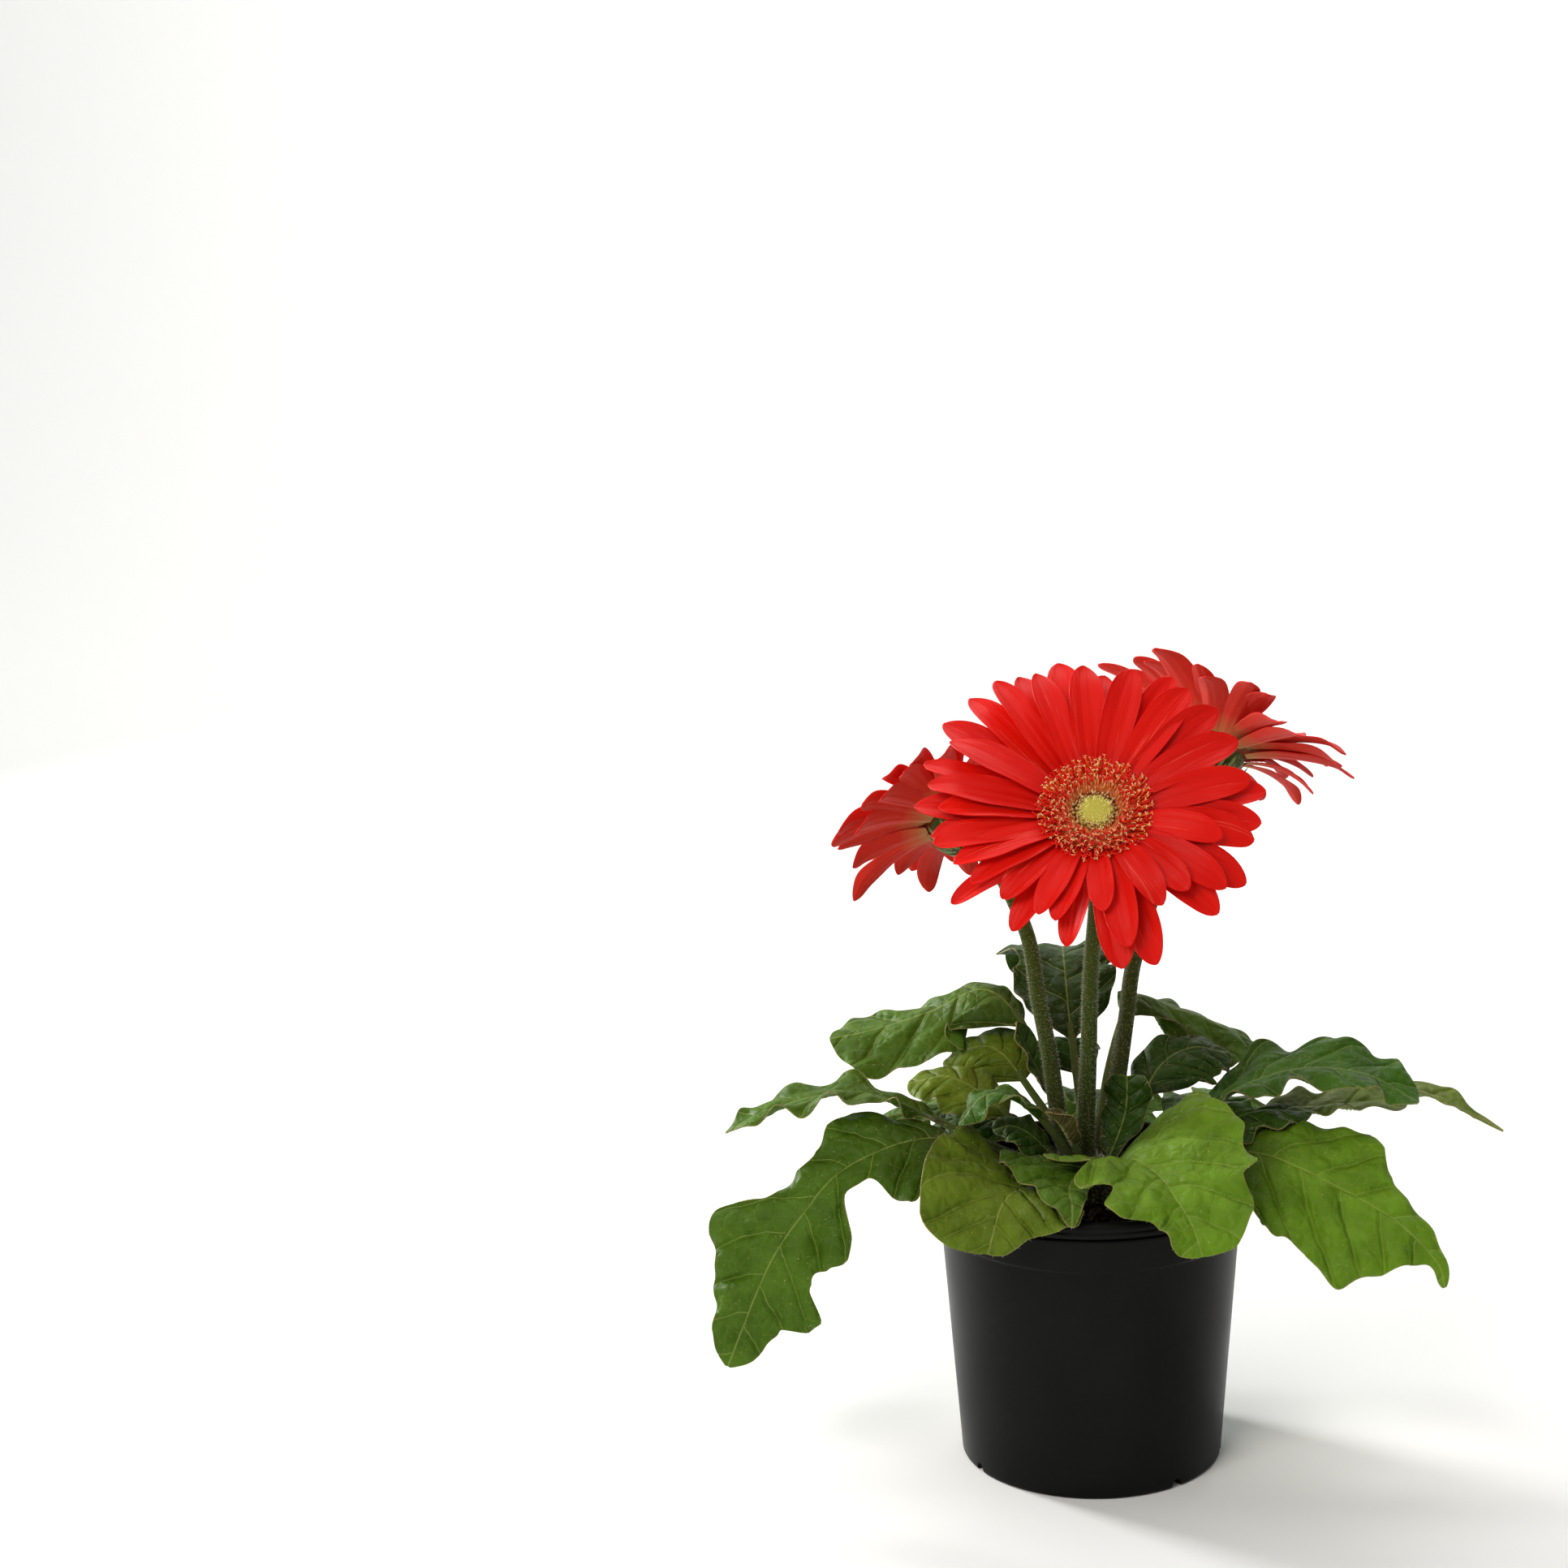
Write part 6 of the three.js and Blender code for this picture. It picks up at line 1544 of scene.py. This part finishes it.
# %% The pot's profile
FOOT_R, NECK_R, LIP_R, LIP_Z, POT_TOP = 47.3, 54.9, 57.6, 101, 107
WALL, FLOOR = 1.5, 2.4
COLLAR_Z, COLLAR_STEP, COLLAR_RISE = 87.5, 0.55, 0.8
POT_SIDES = 160


def wall_r(z):
    return mix(FOOT_R, NECK_R, z / LIP_Z)


POT_PROFILE = [
    [0, 0], [FOOT_R, 0], [wall_r(COLLAR_Z), COLLAR_Z],
    [wall_r(COLLAR_Z) + COLLAR_STEP, COLLAR_Z + COLLAR_RISE],
    [NECK_R + COLLAR_STEP, LIP_Z - 1.2], [NECK_R - 0.8, LIP_Z - 0.6], [NECK_R - 0.6, LIP_Z + 0.2],
    [LIP_R - 0.3, LIP_Z + 0.4], [LIP_R, LIP_Z + 2], [LIP_R - 0.5, LIP_Z + 2.8], [LIP_R - 0.1, LIP_Z + 3.6],
    [LIP_R - 0.5, LIP_Z + 5.4], [LIP_R - 1.6, POT_TOP], [NECK_R - 1, POT_TOP - 0.2],
    [wall_r(LIP_Z) - WALL, LIP_Z - 1], [wall_r(FLOOR) - WALL, FLOOR], [0, FLOOR],
]
pot = Lofts()
pot.add(lathe(soften(POT_PROFILE, 2.4), POT_SIDES), one_side(POT_SIDES))
print("pot profile:", len(POT_PROFILE), "corners")

# %% Cut the notches
NOTCHES = [-58, 40, 82, 138, 180, -108]  # degrees round from the front
NOTCH_WIDE, NOTCH_HIGH, NOTCH_DEEP, NOTCH_SIDES = 4.2, 3.2, 12, 24
POT_SHARP_FROM = 40  # degrees


def notch_shape(angle, u):
    """An oval, as wide as the notch and twice as high as it, half of it under the pot."""
    return NOTCH_HIGH / np.hypot(NOTCH_HIGH * np.cos(angle), NOTCH_WIDE / 2 * np.sin(angle)) + 0 * u


cutters = Lofts()
for angle in NOTCHES:
    turn = math.radians(angle) - math.pi / 2
    ray = np.array([math.cos(turn), math.sin(turn), 0])
    route = Spine([ray * r for r in (FOOT_R - NOTCH_DEEP, FOOT_R, FOOT_R + NOTCH_DEEP)])
    across = np.cross(ray, [0, 0, 1])
    cutter = tube(route, 1, lambda t: NOTCH_WIDE / 2 + 0 * t, notch_shape, across, NOTCH_SIDES, 3)
    cutters.add(cutter, one_side(NOTCH_SIDES))
cutter = bpy.data.objects.new("cutter", cutters.mesh("cutter", POLYPROPYLENE))
blank = bpy.data.objects.new("pot_blank", pot.mesh("pot", POLYPROPYLENE))
for body in (cutter, blank):
    bpy.context.scene.collection.objects.link(body)
modifier = blank.modifiers.new("notches", "BOOLEAN")
modifier.operation = "DIFFERENCE"
modifier.solver = "EXACT"
modifier.object = cutter
depsgraph = bpy.context.evaluated_depsgraph_get()
pot_mesh = bpy.data.meshes.new_from_object(blank.evaluated_get(depsgraph))
for body in (cutter, blank):
    bpy.data.objects.remove(body)
pot_mesh.set_sharp_from_angle(angle=math.radians(POT_SHARP_FROM))
put("moulded_pot", pot_mesh, "pot", "pot")
print("pot:", len(pot_mesh.polygons), "faces")

# %% [markdown]
# ## Peat and crown
# The peat fills the pot to 12 mm under its lip. Its top is heaped a little and lumpy. The crown is the
# short, rough stock in its middle that every leaf and stem grows from. Both are turned bodies with noise
# pushed into them. A Displace modifier could do that too, but here the rings that touch the pot or lie
# hidden are left plain.

# %% Peat
PEAT_TOP, PEAT_FOOT, PEAT_GAP = 95, 3, 0.4
PEAT_R = wall_r(PEAT_TOP) - WALL - 0.3
HEAP, RIM_DROP = 1.5, 1.2  # the middle stands higher, the very edge lower
LUMP = 0.9
HALF_UP = 50  # mm, where the peat's side has one more ring
PEAT_SIDES, TOP_RINGS = 150, 60
ROUGH_FROM, CRUMBS_FROM = 6, 8  # rings, counted from the foot: the top has its first at 4
FRACTAL = (0.8, 2.2, 4)  # how fast the finer noise fades, how much finer each layer is, and the layers
PEAT_GRAIN, PEAT_ROUGH = 5, 1.1  # width and height of the grains
PUSH_OUT, PUSH_UP, NEAR_AXIS = 0.6, 0.8, 3  # shares of the push; within 3 mm of the axis it fades


def roughen(rings, size, deep):
    """Pushes points of a turned body in and out along their radius and height."""
    flat = rings.reshape(-1, 3)
    push = np.array([noise.fractal(Vector(point / size), *FRACTAL) for point in flat])
    level = flat * [1, 1, 0]
    outward = level / np.maximum(np.linalg.norm(level, axis=1), NEAR_AXIS)[:, None]
    outward = outward * PUSH_OUT + [0, 0, PUSH_UP]
    return (flat + outward * push[:, None] * deep).reshape(rings.shape)


body = [[0, PEAT_FOOT]]
body += [[wall_r(z) - WALL - PEAT_GAP, z] for z in (PEAT_FOOT, HALF_UP)]
body += [[PEAT_R, PEAT_TOP - 2]]
top = [
    [r, PEAT_TOP + HEAP * (1 - r / PEAT_R) - (RIM_DROP if r > PEAT_R * 0.99 else 0)]
    for r in np.linspace(PEAT_R, 0, TOP_RINGS)
]
rings = lathe(body + top, PEAT_SIDES)
x, y = rings[len(body) :, :, 0], rings[len(body) :, :, 1]
turn = np.arctan2(y, x)
r = np.hypot(x, y) / PEAT_R
# two slow waves round the middle make the lumps, and the very edge stays level
lumps = LUMP * (np.sin(5 * turn + 7 * r) + np.sin(3 * turn - 11 * r + 1)) * np.minimum(1, 2 * r)
rings[len(body) :, :, 2] += lumps * (r < 0.97)
rings[ROUGH_FROM:] = roughen(rings[ROUGH_FROM:], PEAT_GRAIN, PEAT_ROUGH)
on_top = np.where(np.arange(len(rings)) >= CRUMBS_FROM, 1.0, 0.0)[:, None]
peat = Lofts()
peat.add(rings, one_side(PEAT_SIDES), downy=on_top)
peat_mesh = peat.mesh("peat", PEAT)
put("peat_fill", peat_mesh, "peat", "peat")
print("peat:", len(peat_mesh.polygons), "faces")

# %% Crown
STOCK = [[0, 92], [9.4, 92], [10.6, 95], [11, 99], [10.4, 104], [8.2, 109], [5, 111.2], [0, 111.8]]
STOCK_SIDES, STOCK_STEP = 90, 0.9
CROWN_GRAIN, CROWN_ROUGH = 2.6, 0.7
rings = lathe(soften(STOCK, STOCK_STEP), STOCK_SIDES)
rings[8:-3] = roughen(rings[8:-3], CROWN_GRAIN, CROWN_ROUGH)  # its hidden foot and its very top stay plain
crown = Lofts()
crown.add(rings, one_side(STOCK_SIDES), downy=1.0)
crown_mesh = crown.mesh("crown", CROWN_FLESH)
put("rough_crown", crown_mesh, "crown", "crown")
print("crown:", len(crown_mesh.polygons), "faces")

# %% [markdown]
# ## Down, crumbs and perlite
# Hairs, crumbs and grains are scattered, not set in order. The second tree puts copies of one small piece
# on the faces of a mesh, as densely as its `downy` attribute says, each turned to the surface and tipped
# by chance. A hair is a cone of four faces, because there are tens of thousands of them.

# %% Tree for scattering
SCATTER, given = new_tree(
    "scatter", Piece=bpy.types.Object, Density=1.0, Low_scale=0.5, High_scale=1.0, Tumble=0.5, Seed=0,
    Material=bpy.types.Material,
)
downy = add(SCATTER, "GeometryNodeInputNamedAttribute", ["downy"], data_type="FLOAT")
density = add(SCATTER, "ShaderNodeMath", [downy, given["Density"]], operation="MULTIPLY")
spread = add(
    SCATTER, "GeometryNodeDistributePointsOnFaces",
    {"Mesh": given["Geometry"], "Density": density, "Seed": given["Seed"]},
).node.outputs
piece = add(SCATTER, "GeometryNodeObjectInfo", {"Object": given["Piece"]}, out="Geometry")
size = add(
    SCATTER, "FunctionNodeRandomValue",
    {2: given["Low scale"], 3: given["High scale"], "Seed": given["Seed"]}, out=1,
)
copies = add(
    SCATTER, "GeometryNodeInstanceOnPoints",
    {"Points": spread["Points"], "Instance": piece, "Rotation": spread["Rotation"], "Scale": size},
)
tips = []
for step in (1, 2, 3):
    seed = add(SCATTER, "ShaderNodeMath", [given["Seed"], step], operation="ADD")
    tip = add(SCATTER, "FunctionNodeRandomValue", {2: -1.0, 3: 1.0, "Seed": seed}, out=1)
    tips.append(add(SCATTER, "ShaderNodeMath", [tip, given["Tumble"]], operation="MULTIPLY"))
tipped = add(SCATTER, "ShaderNodeCombineXYZ", tips)
copies = add(SCATTER, "GeometryNodeRotateInstances", {"Instances": copies, "Rotation": tipped})
real = add(SCATTER, "GeometryNodeRealizeInstances", {"Geometry": copies})
dressed = add(SCATTER, "GeometryNodeSetMaterial", {"Geometry": real, "Material": given["Material"]})
add(SCATTER, "NodeGroupOutput", [dressed])
print("scatter tree:", len(SCATTER.nodes), "nodes")

# %% Hairs on stems, leaves and crown; crumbs and perlite on the peat
HAIR_R, HAIR_SUNK, HAIR_TIP = 0.03, 0.05, (0.25, 0.1, 1.0)
PER_MM2 = 1e6
HAIR_SCALES = (0.5, 1.2)

corners = [(HAIR_R * math.cos(a), HAIR_R * math.sin(a), -HAIR_SUNK) for a in (0, 2.1, 4.2)] + [HAIR_TIP]
hair = bpy.data.meshes.new("hair")
hair.from_pydata(
    [tuple(v * MM for v in corner) for corner in corners], [], [(1, 0, 2), (0, 1, 3), (1, 2, 3), (2, 0, 3)]
)
small = {"hair": hair, "crumb": PROTOTYPES["crumb"]}
small = {name: bpy.data.objects.new("proto_" + name, mesh) for name, mesh in small.items()}

leaf_host = Lofts()
for leaf in LEAVES.values():
    add_leaf(leaf_host, leaf)
leaves_mesh = leaf_host.mesh("leaf_host")

# name, host, small piece, material, slot: how many on a square millimetre, scales, tumble in radians
SCATTERED = [
    ("down_stem_" + name, mesh, "hair", DOWN, "stem", 1.8, HAIR_SCALES, 0.7)
    for name, mesh in stem_meshes.items()
] + [
    ("down_leaves", leaves_mesh, "hair", DOWN, "leaf", 0.6, HAIR_SCALES, 0.8),
    ("down_crown", crown_mesh, "hair", DOWN, "crown", 1.5, (1.6, 3.0), 0.9),
    ("peat_crumbs", peat_mesh, "crumb", PEAT, "peat", 0.17, (0.9, 3.1), 3.1),
    ("perlite", peat_mesh, "crumb", PERLITE, "peat", 0.006, (1.0, 3.0), 3.1),
]
for name, host, shape, material, slot, density, scales, tumble in SCATTERED:
    mesh = grow(
        host, SCATTER, Piece=small[shape], Density=density * PER_MM2,
        Low_scale=scales[0], High_scale=scales[1], Tumble=tumble, Seed=len(name), Material=material,
    )
    put(name, mesh, slot)
    print(name, len(mesh.polygons), "faces")
for prototype in small.values():
    bpy.data.objects.remove(prototype)

# %% [markdown]
# ## Floor and light
# The plant stands on a plain pale sheet that curves up behind it, as in a product studio. A big softbox
# from the upper left front is the key. A weaker one fills from the right, one hangs overhead, and a
# narrow strip at the back left draws the soft grey line down the pot's side. One more shines on the
# sheet behind the plant and keeps it white. The pale world fills the shade under the leaves.

# %% Backdrop
BACKDROP, *_ = finish_of("pale_paper", Base_Color="#F4F4F2", Roughness=0.85, Specular_IOR_Level=0.2)
UNDER_POT = 0.0004  # metres, so that the sheet never touches the pot's foot
SHEET_HALF, SHEET_FRONT, SHEET_TOP = 4, -2.5, 4.5
BEND_FROM, BEND_R, BEND_POINTS = 1.6, 1.2, 16

angles = np.linspace(0, math.pi / 2, BEND_POINTS)
bend = [(BEND_FROM + BEND_R * math.sin(a), -UNDER_POT + BEND_R - BEND_R * math.cos(a)) for a in angles]
line = [(SHEET_FRONT, -UNDER_POT), *bend, (BEND_FROM + BEND_R, SHEET_TOP)]
sheet = bpy.data.meshes.new("backdrop")
sheet.from_pydata(
    [(x, y, z) for x in (-SHEET_HALF, SHEET_HALF) for y, z in line], [],
    [(i, i + len(line), i + 1 + len(line), i + 1) for i in range(len(line) - 1)],
)
sheet.polygons.foreach_set("use_smooth", np.ones(len(sheet.polygons), bool))
sheet.materials.append(BACKDROP)
backdrop = bpy.data.objects.new("backdrop", sheet)
bpy.context.scene.collection.objects.link(backdrop)
print("backdrop:", len(sheet.polygons), "faces")

# %% Lamps and world
# place and aim in metres, width and height, watts, tint
LAMPS = {
    "key": ((-0.8, -1.5, 1.5), (0, 0, 0.18), (1.0, 1.0), 23, "#FFF8F0"),
    "fill": ((1.3, -1.6, 1.1), (0, 0, 0.2), (1.6, 1.6), 2.5, "#FFFFFF"),
    "top": ((0, 0.2, 1.7), (0, 0, 0.1), (1.4, 1.4), 7, "#FFFFFF"),
    "edge": ((-1.0, 0.6, 0.4), (0, 0, 0.1), (0.24, 0.9), 20, "#FFFFFF"),
    "backdrop_light": ((0, 1.5, 2.4), (0, 2.6, 0.6), (1.4, 0.8), 42, "#FFFFFF"),
}
for name, (place, aim, (wide, high), watts, tint) in LAMPS.items():
    lamp = bpy.data.lights.new(name, "AREA")
    lamp.shape = "RECTANGLE"
    lamp.size = wide
    lamp.size_y = high
    lamp.energy = watts
    lamp.color = colour(tint)[:3]
    box = bpy.data.objects.new(name, lamp)
    facing = (Vector(aim) - Vector(place)).to_track_quat("-Z", "Y")
    box.matrix_world = Matrix.LocRotScale(Vector(place), facing, None)
    bpy.context.scene.collection.objects.link(box)

world = bpy.data.worlds.new("pale")
world.use_nodes = True
join(world.node_tree.nodes["Background"], {"Color": "#F5F7FA", "Strength": 0.28})
bpy.context.scene.world = world
bpy.context.scene.view_settings.view_transform = "Standard"
print("stage ready:", len(LAMPS), "lamps")
